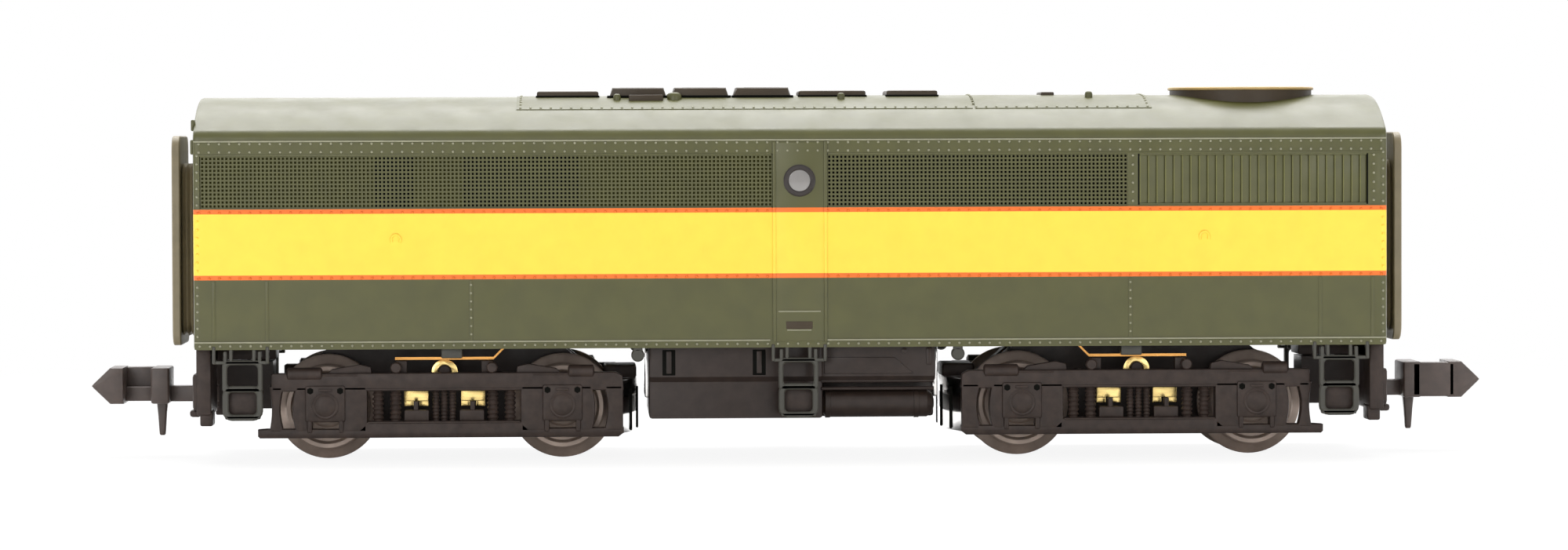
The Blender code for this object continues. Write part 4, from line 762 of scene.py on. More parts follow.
def hull_skin(reach):
    """The section carried along the body: drawn in at both rounded ends and grooved between them."""
    plain, grooved, step = hull_outline(0.0), hull_outline(GROOVE), reach - 0.5
    insets, spots = edge_rows(-reach, reach, 0.22)
    rows = [inset_outline(plain, inset) for inset in insets]
    rows[3:3] = [plain, grooved, grooved, plain]
    stations = [*spots[:3], -step, 0.02 - step, step - 0.02, step, *spots[3:]]
    return skin(carried(np.stack(rows), stations, 0))


def end_wall_parts(end, reach):
    """An end wall with its seams, the plates of the doorway and, at the left, four corner lugs."""
    parts = [prism(end_outline(0.55), end * (reach - 0.9), end * (reach - 0.02), 0, 0.03)]
    seam, lug = (end * (reach - 0.06), end * (reach + 0.07)), (end * (reach - 0.06), end * (reach + 0.22))
    for _, side in SIDES:
        parts.append(block(seam, (7.1, 7.3), (10.5, 23.0), 0.05, 0, side))
        if end < 0:
            parts += [block(lug, (8.0, 8.8), (24.85, 25.7), 0.1, 0, side),
                      block(lug, (8.5, 9.6), (23.1, 24.2), 0.1, 0, side)]
    parts += [block((end * (reach - 0.05), end * (reach + 0.12)), (-2.2, 2.2), (9.9, 21.2), 0.08, 0),
              block((end * reach, end * (reach + 0.2)), (-1.6, 1.6), (16.2, 20.4), 0.08, 0)]
    return parts


def side_wall_parts(side, reach):
    """One side's raised door, straps, seams and ledges, with bearers behind the wall."""
    half = size("body_width") / 2
    proud = (9.9, half + 0.05)
    parts = [block(DOOR_X, (9.5, half + 0.05), (8.95, 23.9), 0.05, 1, side)]
    for x in (DOOR_X[0], DOOR_X[1] - 0.25):
        parts.append(block((x, x + 0.25), (9.6, half + 0.14), (8.95, 23.95), 0.05, 1, side))
    parts += [block((25.2, 26.0), (9.55, half + 0.02), (19.01, 22.99), 0.03, 1, side),
              block((43.32, 44.31), (9.55, half), (19.01, 22.99), 0.02, 1, side)]
    parts += [block((x - 0.13, x + 0.13), proud, (9.1, 13.6), 0.03, 1, side) for x in SEAM_X]
    for z in LEDGE_Z:
        for span in ((0.5 - reach, DOOR_X[0] - 0.05), (DOOR_X[1] + 0.05, reach - 0.5)):
            parts.append(block(span, proud, (z - 0.07, z + 0.07), 0.03, 1, side))
    parts += [block((x - 1.5, x + 1.5), (8.1, 9.5), (12.0, 16.0), side=side) for x in BEARER_X]
    return parts


def line_parts(side, reach):
    """Fine raised lines of one side: at the eave, along the sill and on the door, in the pale colour that
    paints their highlight.
    """
    half = size("body_width") / 2
    end = reach - 0.05
    spans = ((-end, end, 24.05, 0.11), (-end, -1.7, 9.05, 0.12), (2.58, end, 9.05, 0.12),
             (-1.1, 2.1, 11.2, 0.1), (-0.45, 1.4, 9.8, 0.1))
    return [block((low, high), (9.9, half + 0.11), (z - tall / 2, z + tall / 2), 0.04, 1, side)
            for low, high, z, tall in spans]


def below_parts(side):
    """Under one side's sill: steps at the door and both ends, round lugs and brackets."""
    parts = step_parts((-1.09, 1.91), (-1.62, 2.54), side)
    for _, end in ENDS:
        parts += step_parts((end * 42.7, end * 39.7), (end * 43.45, end * 39.2), side)
    for x in KNOB_X:
        parts += knob_parts(x, side)
    parts += [block((x - 0.8, x + 0.8), (8.0, 8.9), (7.75, 8.75), 0.12, side=side) for x in (-25.6, 25.6)]
    return parts


def make_hull():
    """Hull, end walls, doors, straps and ledges, with the steps and pilots below the sill."""
    reach = size("body_length") / 2
    walls = [hull_skin(reach), *every(ENDS, end_wall_parts, reach), *every(SIDES, side_wall_parts, reach)]
    shell_piece("shell_hull", walls, ["side_paint"], ["body_shell"])
    shell_piece("shell_lines", every(SIDES, line_parts, reach), ["pale_paint"])
    shell_piece("shell_steps", every(SIDES, below_parts), ["step_grey", "frame_plastic"])
    shell_piece("shell_pilots", every(ENDS, pilot_parts), ["frame_plastic"])


def shutter_parts(side):
    """Upright wedges, each with a ridge in painted highlight, between two rails and two dark joints in
    painted shade.
    """
    pitch = size("slat_pitch")
    parts = []
    for x in np.arange(SHUTTER_X[0], SHUTTER_X[1] - 0.5 * pitch, pitch):
        wedge = [(x, side * 9.6), (x + pitch, side * 9.6), (x + pitch, side * 9.85), (x + 0.12, side * 9.96),
                 (x, side * 9.96)]
        parts.append(prism(wedge, 19.1, 22.9, 2, 0.02))
        parts.append(inked(block((x, x + 0.1), (9.8, 9.985), (19.25, 22.75), 0.03, 1, side), 1))
    for z in (19.02, 22.8):
        parts.append(block((26.1, 43.3), (9.6, 10.0), (z, z + 0.2), 0.04, 1, side))
    for x in (25.98, 43.26):
        parts.append(inked(block((x, x + 0.11), (9.7, 10.03), (19.1, 22.9), 0.02, 1, side), 2))
    return parts


def lifting_loop(x, side):
    """A thin tube along a little more than half an ellipse that stands on the side."""
    turn = np.linspace(-0.6, math.pi + 0.6, 15)
    path = np.stack([x + 0.34 * np.cos(turn), np.full_like(turn, side * 10.05),
                     16.7 + 0.38 * np.sin(turn)], 1)
    return tube(path, 0.09, 8)


def make_side_detail():
    """Rivets, meshes, shutters, the door's slot and the lifting loops."""
    half = size("body_width") / 2
    places, ways = rivet_places()
    # Rivet heads off the bands take the pale colour as painted highlight; those on the bands take the side
    # paint.
    banded = (places[:, 2] > 13.6) & (places[:, 2] < 18.95)
    heads = [inked(studs(places[on], ways[on], size("rivet_radius"), 0.1), mark)
             for mark, on in enumerate((~banded, banded))]
    shell_piece("shell_rivets", heads, ["pale_paint", "side_paint"], crease=60)
    for name, side in SIDES:
        depths = [side * (half - inset) for inset in (0.03, 0.22, 0.34)]
        meshes = [mesh_panel(span, GRILLE_Z, *depths, dark) for span, dark in GRILLES]
        shell_piece(f"side_mesh_{name}", meshes, ["olive_paint", "deep_shade", "mesh_shade"])
    shell_piece("side_shutters", every(SIDES, shutter_parts), ["olive_paint", "edge_paint", "deep_shade"])
    marks = []
    for _, side in SIDES:
        # The door's slot is a low block in umber: painted shade standing in for the slot's hollow.
        marks.append(block((-0.52, 1.48), (9.9, 10.09), (9.88, 10.45), 0.05, 1, side))
        marks += [inked(lifting_loop(x, side), 1) for x in (-29.7, 31.0)]
    shell_piece("door_slot_and_loops", marks, ["umber", "side_paint"])


def hatch_panel(low, high, wide=6.75):
    """A thin panel that follows the roof: the roof curve raised by 0.05 and closed 0.25 below."""
    across = np.linspace(-wide, wide, 22)
    top = np.stack([across, roof_at(across) + 0.05], 1)
    section = np.concatenate([top, top[::-1] - [0.0, 0.25]])
    return skin(carried(np.stack([section] * 2), [low, high], 0))


def vent_parts(low):
    """A lid with sloping ends in umber as painted shade, three slots in its top as dark blocks of painted
    shade, on a dark seat that paints the shadow line under it.
    """
    crown = size("crown")
    base, top = roof_at(3.2) - 0.3, crown + 0.65
    outline = [(low, base), (low + 4.6, base), (low + 4.25, top), (low + 0.35, top)]
    seat = block((low - 0.05, low + 4.65), (-3.3, 3.3), (base, crown + 0.06), 0.05)
    slots = [block((low + 0.9, low + 3.7), (y - 0.25, y + 0.25), (top - 0.1, top + 0.02), 0.05)
             for y in (-1.6, 0.0, 1.6)]
    return [inked(prism(outline, -3.2, 3.2, 1, 0.22), 2), *[inked(part, 1) for part in (seat, *slots)]]


def lid_parts(middle, long):
    """A flat lid with rounded edges in umber as painted shade, on a dark seat a little larger than itself
    that paints the shadow line under it.
    """
    crown, half = size("crown"), long / 2
    lid = block((middle - half, middle + half), (-2.8, 2.8), (roof_at(2.8) - 0.3, crown + 0.4), 0.16)
    seat = block((middle - half - 0.08, middle + half + 0.08), (-2.9, 2.9),
                 (roof_at(2.9) - 0.3, crown + 0.07), 0.05)
    return [inked(lid, 2), inked(seat, 1)]


def roof_knob(x, y, wide, tall):
    """A low dome set into the roof: straight at first, then drawn in by two steps."""
    profile = [(0, wide), (0.25 + tall * 0.4, wide), (0.25 + tall * 0.75, wide * 0.8),
               (0.2 + tall, wide * 0.4)]
    return turned(profile, (x, y, roof_at(y) - 0.15), 2, 20)


def make_roof():
    """Riveted hatch panels that follow the roof, tapered lids, plates, a dome and knobs."""
    parts = [hatch_panel(-20.7, 13.8), hatch_panel(14.0, 27.4)]
    for number in range(3):
        parts += vent_parts(-13.8 + 4.75 * number)
    for middle, long in ((-16.85, 4.7), (3.35, 5.1), (9.45, 3.9)):
        parts += lid_parts(middle, long)
    # The small plate and the strip take the umber as painted shade.
    plate = block((-12.2, -9.6), (-4.6, -3.9), (26.9, 27.5), 0.06)
    strip = block((19.4, 20.4), (-2.0, 2.0), (roof_at(2.0) - 0.2, size("crown") + 0.25), 0.1)
    parts += [inked(plate, 2), inked(strip, 2)]
    parts += [roof_knob(*row) for row in ROOF_KNOBS]
    shell_piece("roof_hatches", parts, ["olive_paint", "deep_shade", "umber"])


def fan_blade(angle):
    """A pitched blade: four edges run out from the hub and spread, the leading pair 0.16 higher."""
    out, spread = np.linspace(0.8, 4.7, 8), np.linspace(0.35, 0.95, 8)
    rows = np.empty((8, 4, 3))
    for edge, (side, height) in enumerate(((-1, 27.52), (1, 27.68), (1, 27.73), (-1, 27.57))):
        rows[:, edge, 0] = FAN_X + out * math.cos(angle) - side * spread * math.sin(angle)
        rows[:, edge, 1] = out * math.sin(angle) + side * spread * math.cos(angle)
        rows[:, edge, 2] = height
    return skin(rows)


def fan_guard():
    """Round wires over the fan: five rings and four bars across them."""
    turn = np.linspace(0, 2 * math.pi, 56, endpoint=False)
    wires = []
    for radius in (1.5, 2.2, 2.9, 3.6, 4.3):
        ring = np.stack([FAN_X + radius * np.cos(turn), radius * np.sin(turn), np.full_like(turn, 27.84)], 1)
        wires.append(tube(ring, 0.07, 6, closed=True))
    reach = np.linspace(-4.9, 4.9, 6)[:, None]
    for number in range(4):
        angle = number * math.pi / 4 + 0.4
        way = np.array([math.cos(angle), math.sin(angle), 0])
        wires.append(tube(np.array([FAN_X, 0, 27.88]) + reach * way, 0.08, 6))
    return wires


def make_fan():
    """Fan ring and rim, hub, pitched blades and the round wires of its guard."""
    crown, centre = size("crown"), (FAN_X, 0, 0)
    low = roof_at(5.45) - 0.4
    skirt = [(low, 5.45), (27.76, 5.45), (27.76, 4.9), (low, 4.9)]
    rim = [(27.74, 5.5), (27.78, 5.6), (27.92, 5.6), (FAN_TOP, 5.52), (FAN_TOP, 4.95), (27.9, 4.85),
           (27.74, 4.85)]
    well = [(crown - 0.6, 4.95), (crown + 0.1, 4.95)]
    hub = [(crown, 1.0), (27.8, 1.0), (27.86, 0.9), (27.88, 0.4)]
    # The skirt and blades take the umber as painted shade, the rim the khaki as painted highlight, and the
    # well the deep shade.
    parts = [inked(turned(skirt, centre, 2, 72, closed=True), 2), turned(rim, centre, 2, 72, closed=True),
             inked(turned(well, centre, 2, 72), 1), inked(turned(hub, centre, 2, 32), 3)]
    parts += [inked(fan_blade(number * math.pi / 4), 2) for number in range(8)]
    parts += [inked(wire, 3) for wire in fan_guard()]
    shell_piece("fan", parts, ["khaki", "deep_shade", "umber", "olive_paint"], ["roof_fan"])


def make_portholes():
    """A round gasket and a domed lens in each side door."""
    ring = [(9.7, 1.2), (10.12, 1.2), (10.2, 1.1), (10.2, 0.9), (10.12, 0.8), (9.7, 0.78)]
    glass = [(9.6, 0.8), (10.1, 0.8), (10.14, 0.55), (10.165, 0.3), (10.17, 0.05)]
    for name, side in SIDES:
        parts = [turned(sided(ring, side), PORTHOLE, 1, 48, closed=True),
                 inked(turned(sided(glass, side), PORTHOLE, 1, 48), 1)]
        gather(f"porthole_set_{name}", parts, ["gasket", "lens"], "chassis", [f"porthole_{name}"])


def make_diaphragms():
    """A pleated bellows and a flat striker plate round the doorway at each end."""
    doorway = rounded_rectangle(4.6, 11.6, 0.5, 5) + [0.0, 15.6]
    folds = np.linspace(44.86, 46.25, 9)
    pleats = np.where(np.arange(9) % 2, 0.7, 1.0)
    bellows = np.stack([rounded_rectangle(8.4 - 2 * d, 14.5 - 2 * d, 1.0, 5) + [0.0, 15.85] for d in pleats])
    rows = np.array([46.23, 46.31, 46.77, 46.85])
    plate = np.stack([rounded_rectangle(8.4 - 2 * d, 15.9 - 2 * d, 1.1, 5) + [0.0, 16.55]
                      for d in (0.08, 0.0, 0.0, 0.08)])
    for name, end in ENDS:
        parts = [frame_ring(outer, np.stack([doorway] * len(outer)), end * stations, 0)
                 for outer, stations in ((bellows, folds), (plate, rows))]
        shell_piece(f"gangway_{name}", parts, ["gangway"], [f"diaphragm_{name}"], 25)


def tank_side_parts(side):
    """One side of the tanks: a reservoir with bands, two ribbed panels, a plate, pipes and fittings."""
    y, z = side * 7.09, 4.15
    reservoir = [(2.2, 0.3), (2.3, 0.75), (2.7, 1.05), (10.2, 1.05), (10.6, 0.75), (10.75, 0.3)]
    band = [(-0.22, 1.0), (-0.18, 1.1), (0.18, 1.1), (0.22, 1.0), (0.1, 0.9), (-0.1, 0.9)]
    parts = [turned(reservoir, (0, y, z), 0, 32)]
    parts += [turned(band, (x, y, z), 0, 32, closed=True) for x in (2.7, 9.4)]
    for x in (-9.8, -3.0):
        parts.append(inked(block((x, x + 1.0), (8.3, TANK_Y + 0.03), (6.35, 8.3), 0.06, 1, side), 1))
        parts.append(block((x + 0.3, x + 0.7), (8.3, TANK_Y + 0.06), (6.5, 8.2), 0.06, 1, side))
    plate = [(2.4, 6.43), (9.13, 6.43), (7.71, 7.68), (2.4, 7.68)]
    parts.append(prism(plate, side * 8.2, side * (TANK_Y + 0.1), 1, 0.07))
    for height in (5.88, 5.31):
        run = np.stack([np.linspace(2.2, 10.7, 6), np.full(6, side * 8.15), np.full(6, height)], 1)
        parts.append(tube(run, 0.13, 10))
    parts.append(block((10.05, 10.6), (8.3, TANK_Y + 0.1), (7.05, 8.45), 0.2, 1, side))
    knob = [(TANK_Y - 0.2, 0.24), (TANK_Y + 0.08, 0.22), (TANK_Y + 0.12, 0.12)]
    parts.append(turned(sided(knob, side), (8.46, 0, 8.16), 1, 20))
    return parts


def make_tank():
    """Battery box at the left, reservoirs, bands and piping at the right, under one top block."""
    shelf = [(8.2, 5.85), (TANK_Y, 6.25), (TANK_Y, 8.6), (-TANK_Y, 8.6), (-TANK_Y, 6.25), (-8.2, 5.85)]
    parts = [prism([(-8.2, 3.1), (8.2, 3.1), *shelf], -10.8, 2.3, 0, 0.22),
             prism([shelf[-1], *shelf[:-1]], 2.1, 10.8, 0, 0.22),
             block((2.0, 10.8), (-6.1, 6.1), (3.1, 6.2), 0.2, 0)]
    parts += every(SIDES, tank_side_parts)
    for _, end in ENDS:
        parts.append(inked(block((end * 10.7, end * 11.1), (-6.4, 6.4), (4.6, 8.6), 0.12, 0), 2))
    gather("battery_and_air_tanks", parts, ["black_plastic", "deep_shade", "polish"], "chassis",
           ["fuel_tank"])


# Trucks

def spring_part(x, y, low, high, radius=0.44, ribs=7):
    """A ribbed column: the radius follows a cosine along its height."""
    z = np.linspace(low, high, 6 * ribs + 1)
    rib = radius * (0.87 + 0.13 * np.cos((z - low) / (high - low) * 2 * math.pi * ribs))
    return turned(np.stack([z - low, rib], 1), (x, y, low), 2, 18)


def curved_post(edges, way):
    """Outline between two upright edges, each bowed by a sine: (u, z) down one edge and up the other."""
    low, high = 2.2, 5.7
    z = np.linspace(low, high, 12)
    bow = np.sin((z - low) / (high - low) * math.pi)
    first = np.stack([way * (edges[0] + edges[1] * bow), z], 1)
    second = np.stack([way * (edges[2] + edges[3] * bow), z], 1)
    return np.concatenate([first, second[::-1]])


def frame_depths():
    """Inner face, middle and outer face of a sideframe from the middle line."""
    outer = size("frame_outer")
    inner = outer - size("frame_depth")
    return inner, (inner + outer) / 2, outer


def axle_box_parts(x, side):
    """Round an axle's end: a box on two feet, a turned cap, two dark holes and a lip over the cap."""
    inner, _, outer = frame_depths()
    face = outer + 0.16
    cap = [(face - 0.2, 1.05), (face + 0.04, 1.02), (face + 0.09, 0.92), (face + 0.06, 0.8),
           (face + 0.13, 0.7), (face + 0.16, 0.25)]
    holes = [(x + shift, side * face, 5.35) for shift in (-1.12, 1.12)]
    parts = [block((x - 1.5, x + 1.5), (inner, face), (3.0, 5.75), 0.18, 1, side)]
    for low in (x - 1.35, x + 1.0):
        parts.append(block((low, low + 0.35), (inner, outer + 0.1), (2.2, 3.3), 0.1, 1, side))
    parts += [turned(sided(cap, side), (x, 0, size("axle_height") + 0.25), 1, 36),
              inked(studs(holes, (0.0, side, 0.0), 0.26, 0.04), 1),
              block((x - 0.5, x + 0.5), (face - 0.2, face + 0.1), (5.3, 5.5), 0.06, 1, side)]
    return parts


def half_frame_parts(way, side):
    """One way from a sideframe's middle: springs, spring seats, a bracket, and lug, post and hump above."""
    inner, middle, outer = frame_depths()
    lug = [(outer - 0.9, 0.42), (outer - 0.1, 0.42), (outer, 0.34)]
    hump = [(way * 5.4, 6.4), (way * 5.5, 7.1), (way * 6.3, 7.3), (way * 8.4, 6.95), (way * 9.0, 6.4)]
    parts = [spring_part(way * x, side * (middle + 0.12), 2.95, 5.4) for x in (3.65, 4.95)]
    parts += [block((way * 6.0, way * 6.9), (6.86, inner + 0.4), (3.1, 4.9), 0.08, 1, side),
              turned(sided(lug, side), (way * 3.6, 0, 7.05), 1, 24),
              block((way * 2.8, way * 3.6), (6.95, 7.9), (6.4, 7.54), 0.08, 1, side),
              prism(hump, side * inner, side * (inner + 0.8), 1, 0.1),
              block((way * 1.15, way * 3.0), (inner, middle + 0.2), (3.0, 3.85), 0.1, 1, side),
              block((way * 1.95, way * 2.3), (inner, middle + 0.1), (3.6, 4.5), 0.08, 1, side)]
    return parts


def brake_parts(low, high, z, rod, side):
    """A brake cylinder along the top beam with a thin rod towards the truck's middle."""
    _, _, outer = frame_depths()
    profile = [(low, 0.3), (low + 0.12, 0.5), (high - 0.12, 0.5), (high, 0.3)]
    run = np.stack([np.linspace(*rod, 4), np.full(4, side * (outer - 0.1)), np.full(4, 6.5)], 1)
    return [turned(profile, (0, side * (outer - 0.3), z), 0, 24), tube(run, 0.13, 8)]


def sideframe_parts(side, inward):
    """One moulded side about its truck's middle: beams, posts with holes between, springs and boxes."""
    inner, middle, outer = frame_depths()
    depth = (side * inner, side * outer)
    parts = [prism(sided(outline, inward), *depth, 1, 0.14) for outline in (TOP_BEAM, BOTTOM_BEAM)]
    for reach, low in ((5.8, 5.36), (5.7, 2.88)):
        parts.append(block((-reach, reach), (outer - 0.2, outer + 0.07), (low, low + 0.14), 0.05, 1, side))
    for way in (-1, 1):
        last = (13.45, 0.0) if way == inward else (13.1, -0.2)
        for edges in ((5.75, 0.0, 7.6, 0.0), (10.2, 0.0, 11.1, 0.25), (12.0, 0.3, *last)):
            parts.append(prism(curved_post(edges, way), *depth, 1, 0.14))
        parts += axle_box_parts(way * size("axle_offset"), side)
        parts += half_frame_parts(way, side)
    parts += [spring_part(x, side * (middle - 0.1), 3.0, 5.4, 0.27, 9) for x in (-0.62, 0.0, 0.62)]
    parts += brake_parts(9.3, 11.3, 6.72, (9.3, 6.7), side)
    parts += brake_parts(-11.8, -9.1, 6.6, (-9.1, -6.5), side)
    stud = [(6.0, 0.46), (7.0, 0.46), (7.08, 0.38)]
    parts.append(turned(sided(stud, side), (0, 0, 6.72), 1, 24))
    return parts


def keeper_parts():
    """Crossbar and keeper plate under the gears, in strips round the gears' openings, with two screws."""
    height, strip = (1.8, 2.5), (-2.5, 2.5)
    parts = [block((-4.4, 4.4), (-END_PLATE_Y, END_PLATE_Y), height, 0.1)]
    for way in (-1, 1):
        parts += [block((way * 4.0, way * 12.3), (0.95, 2.5), height, 0.1, side=side) for _, side in SIDES]
        parts += [block((way * 11.75, way * 12.3), strip, height, 0.1),
                  block((way * 4.0, way * 5.9), strip, height, 0.1),
                  studs([(way * 5.0, 0, 1.84)], (0.0, 0.0, -1.0), 0.6, 0.15)]
    return parts


def end_plate_parts(end):
    """Bowed bright plate across a truck's inner end, with four dark slots and a bracket over it.

    The plate stands out by a parabola across the truck that is nothing at both sides.
    """
    def bowed(y):
        return 1.2 * (1 - (y / END_PLATE_Y) ** 2)

    across = np.linspace(-END_PLATE_Y, END_PLATE_Y, 25)
    face = np.stack([-end * (13.42 + bowed(across)), across], 1)
    back = np.stack([-end * (12.95 + bowed(across)), across], 1)
    parts = [inked(prism(np.concatenate([face, back[::-1]]), 2.0, 6.0, 2, 0.12), 2)]
    for y in (-5.6, -2.2, 2.2, 5.6):
        at = -end * (13.42 + bowed(y))
        slot = block((at + end * 0.2, at - end * 0.1), (y - 0.22, y + 0.22), (2.1, 5.3), 0.08, 0)
        parts.append(inked(slot, 1))
    parts.append(block((-end * 12.0, -end * 14.5), (-2.6, 2.6), (5.9, 6.9), 0.2))
    return parts


def make_truck_frames():
    """Both truck frames: two moulded sides, crossbar, inner end beam and the keeper plate."""
    for name, end in ENDS:
        parts = every(SIDES, sideframe_parts, -end) + keeper_parts() + end_plate_parts(end)
        parts = [at_place(part, x=end * size("truck_x")) for part in parts]
        gather(f"sideframes_{name}", parts, ["frame_plastic", "deep_shade", "polish"], f"truck_{name}",
               [f"truck_frame_{name}"])


def pickup_parts(side):
    """A brass strip about its truck's middle: bar, wheel legs, two slotted tabs and a half ring on top."""
    depth = (6.5, 6.8)
    parts = [block((-9.7, 9.7), depth, (5.3, 6.0), 0.05, 1, side)]
    for way in (-1, 1):
        parts.append(block((way * 7.9, way * 9.7), depth, (3.1, 5.6), 0.05, 1, side))
        parts += [block((way * x, way * (x + 0.7)), depth, (4.05, 4.7), 0.05, 1, side) for x in (1.2, 2.35)]
        parts.append(block((way * 1.2, way * 3.05), (6.5, 6.9), (4.45, 5.5), 0.05, 1, side))
    turn = np.linspace(0, math.pi, 17)
    arch = np.stack([np.cos(turn), np.sin(turn)], 1)
    ring = np.concatenate([[[1.0, 5.5]], arch * 1.0 + [0, 6.6], [[-1.0, 5.5], [-0.53, 5.5]],
                           arch[::-1] * 0.53 + [0, 6.6], [[0.53, 5.5]]])
    parts.append(prism(ring, side * depth[0], side * depth[1], 1, 0.04))
    return parts


def make_pickups():
    """Brass strips with two slotted tabs in the window, wheel legs and a half ring at the top."""
    for name, end in ENDS:
        for side_name, side in SIDES:
            parts = [at_place(part, x=end * size("truck_x")) for part in pickup_parts(side)]
            gather(f"pickup_{name}_{side_name}", parts, ["brass"], f"truck_{name}",
                   [f"pickup_strip_{name}_{side_name}"])


def wheel_profile():
    """Half section of a wheel as (along, radius), from its stub over flange, tread and face to its point."""
    back, flange, tread = size("wheel_back"), size("axle_height"), size("tread_radius")
    face = back + WHEEL_WIDTH
    stub = [(back - 2.1, 0.2), (back - 2.1, 0.55), (back - 0.02, 0.55), (back, 0.7)]
    rim = [(back, flange - 0.14), (back + 0.06, flange - 0.04), (back + 0.17, flange),
           (back + 0.3, flange - 0.04), (back + 0.44, flange - 0.25), (back + 0.52, tread + 0.18),
           (back + 0.64, tread + 0.03), (back + 0.75, tread), (face - 0.1, tread - 0.05)]
    dish = [(face, tread - 0.14), (face, tread - 0.42), (face - 0.06, tread - 0.5),
            (face - 0.32, tread - 0.62), (face - 0.36, 2.0), (face - 0.3, 1.55), (face - 0.06, 1.4),
            (face, 1.3), (face, 0.62)]
    point = [(face + 0.06, 0.5), (face + 0.36, 0.5), (face + 0.45, 0.3), (face + 0.45, 0.05)]
    return stub + rim + dish + point


def make_wheels():
    """Eight turned wheels: stub, flange with a rounded tip, coned tread, dished face and point."""
    for name, end in ENDS:
        for axle, way in (("a", -1), ("b", 1)):
            centre = (end * size("truck_x") + way * size("axle_offset"), 0.0, size("axle_height"))
            for side_name, side in SIDES:
                spun = turned(sided(wheel_profile(), side), centre, 1, 72)
                gather(f"turned_wheel_{name}_{axle}_{side_name}", [spun], ["wheel_metal"],
                       f"wheelset_{name}_{axle}", [f"wheel_{name}_{axle}_{side_name}"])


def hook_parts():
    """The right end's hook: shank with its pin, head open to one side, pointed nose and drop finger."""
    nose = [(50.8, 4.1), (51.8, 4.1), (53.05, 5.3), (53.2, 5.48), (53.05, 5.65), (51.8, 6.85), (50.8, 6.85)]
    pin = [(-2.04, 0.36), (-1.98, 0.42), (1.98, 0.42), (2.04, 0.36)]
    finger = np.stack([rounded_rectangle(wide, wide, 0.16, 4) + [48.0, 0.0]
                       for wide in (0.34, 0.46, 0.5, 0.66, 0.86)])
    return [block((41.42, 48.2), (-0.7, 0.7), (4.2, 5.4), 0.12, 0),
            turned(pin, (41.9, 0, 4.8), 1, 24),
            block((47.3, 48.7), (-2.2, 2.2), (4.1, 6.85), 0.16),
            block((48.0, 51.3), (-2.2, -1.2), (4.16, 6.79), 0.14, 0),
            prism(nose, -2.2, 2.2, 1, 0.14),
            block((48.4, 51.1), (-1.5, -0.2), (4.2, 5.3), 0.1, 0),
            skin(carried(finger, [1.6, 1.7, 1.9, 3.2, 4.3], 2))]


def coil_part(low, high):
    """A wire along a helix inside a box: three turns that climb evenly from its floor to its top."""
    wire, turns = 0.1, 3
    share = np.linspace(0, 1, 120)
    angle = share * turns * 2 * math.pi
    middle, reach = (low + high) / 2, (high[0] - low[0]) / 2 - wire
    path = np.stack([middle[0] + reach * np.cos(angle), middle[1] + reach * np.sin(angle),
                     low[2] + wire + share * (high[2] - low[2] - 2 * wire)], 1)
    return tube(path, wire, 10)


def make_couplers():
    """Hooks with rounded edges and a drop finger, and the coil in each coupler's box."""
    for name, end in ENDS:
        parts = [at_place(part, turn=end < 0) for part in hook_parts()]
        gather(f"hook_coupler_{name}", parts, ["coupler_plastic"], f"hook_{name}", [f"coupler_hook_{name}"])
        low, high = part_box(f"coupler_spring_{name}")
        low, high = np.array(low) / MM, np.array(high) / MM
        piece = gather(f"coupler_coil_{name}", [coil_part(low, high)], ["steel"], f"coupler_{name}",
                       [f"coupler_spring_{name}"])
        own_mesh(piece)


KEPT = {
    "zinc": ("chassis_near", "chassis_far"),
    "steel": ("motor_can", "armature", "chassis_screw_left", "chassis_screw_right", "worm_shaft_left",
              "worm_shaft_right"),
    "brass": ("flywheel_left", "flywheel_right", "bearing_inner_left", "bearing_inner_right",
              "bearing_outer_left", "bearing_outer_right"),
    "carbon": ("brush_near", "brush_far"),
    "copper": tuple(f"wiper_{e}_{s}" for e, _ in ENDS for s, _ in SIDES),
    "nylon": ("worm_gear_left", "worm_gear_right") + tuple(
        f"{kind}_gear_{e}_{a}" for kind in ("idler", "axle") for e, _ in ENDS for a in "ab"),
    "black_plastic": tuple(f"{kind}_{e}" for kind in ("truck_case", "coupler_box") for e, _ in ENDS),
}


def dress_kept_nodes():
    """Finishes for the CAD nodes that stay as they are."""
    for finish, names in KEPT.items():
        for name in names:
            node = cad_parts[name]
            node.data.materials.clear()
            node.data.materials.append(bpy.data.materials[FINISH_PREFIX + finish])


# Studio

def light_path_white(tree, lamp_level):
    """One where a ray comes from the camera, a reflection or glass, and the lamp level elsewhere."""
    rays = tree.nodes.new("ShaderNodeLightPath")
    seen = rays.outputs["Is Camera Ray"]
    for key in ("Is Glossy Ray", "Is Transmission Ray"):
        most = tree.nodes.new("ShaderNodeMath")
        most.operation = "MAXIMUM"
        tree.links.new(seen, most.inputs[0])
        tree.links.new(rays.outputs[key], most.inputs[1])
        seen = most.outputs[0]
    level = tree.nodes.new("ShaderNodeMapRange")
    level.inputs["To Min"].default_value = lamp_level
    level.inputs["To Max"].default_value = 1.0
    tree.links.new(seen, level.inputs["Value"])
    return level.outputs["Result"]


def stand(item, right, up, back, place):
    """Puts an object into the scene with its axes and place as the columns of its matrix."""
    columns = [np.append(axis, 0) for axis in (right, up, back)] + [np.append(place, 1)]
    item.matrix_world = Matrix(np.column_stack(columns).tolist())
    bpy.context.scene.collection.objects.link(item)


def lamp(name, place, aim, width, depth, power):
    """A soft rectangular lamp that points from its place to an aim."""
    data = bpy.data.lights.new(name, "AREA")
    data.shape = "RECTANGLE"
    data.size = width
    data.size_y = depth
    data.energy = power
    way = np.array(aim, float) - np.array(place, float)
    back = -way / np.linalg.norm(way)
    right = np.cross([0.0, 1.0, 0.0] if abs(back[1]) < 0.9 else [0.0, 0.0, 1.0], back)
    right /= np.linalg.norm(right)
    stand(bpy.data.objects.new(name, data), right, np.cross(back, right), back, place)


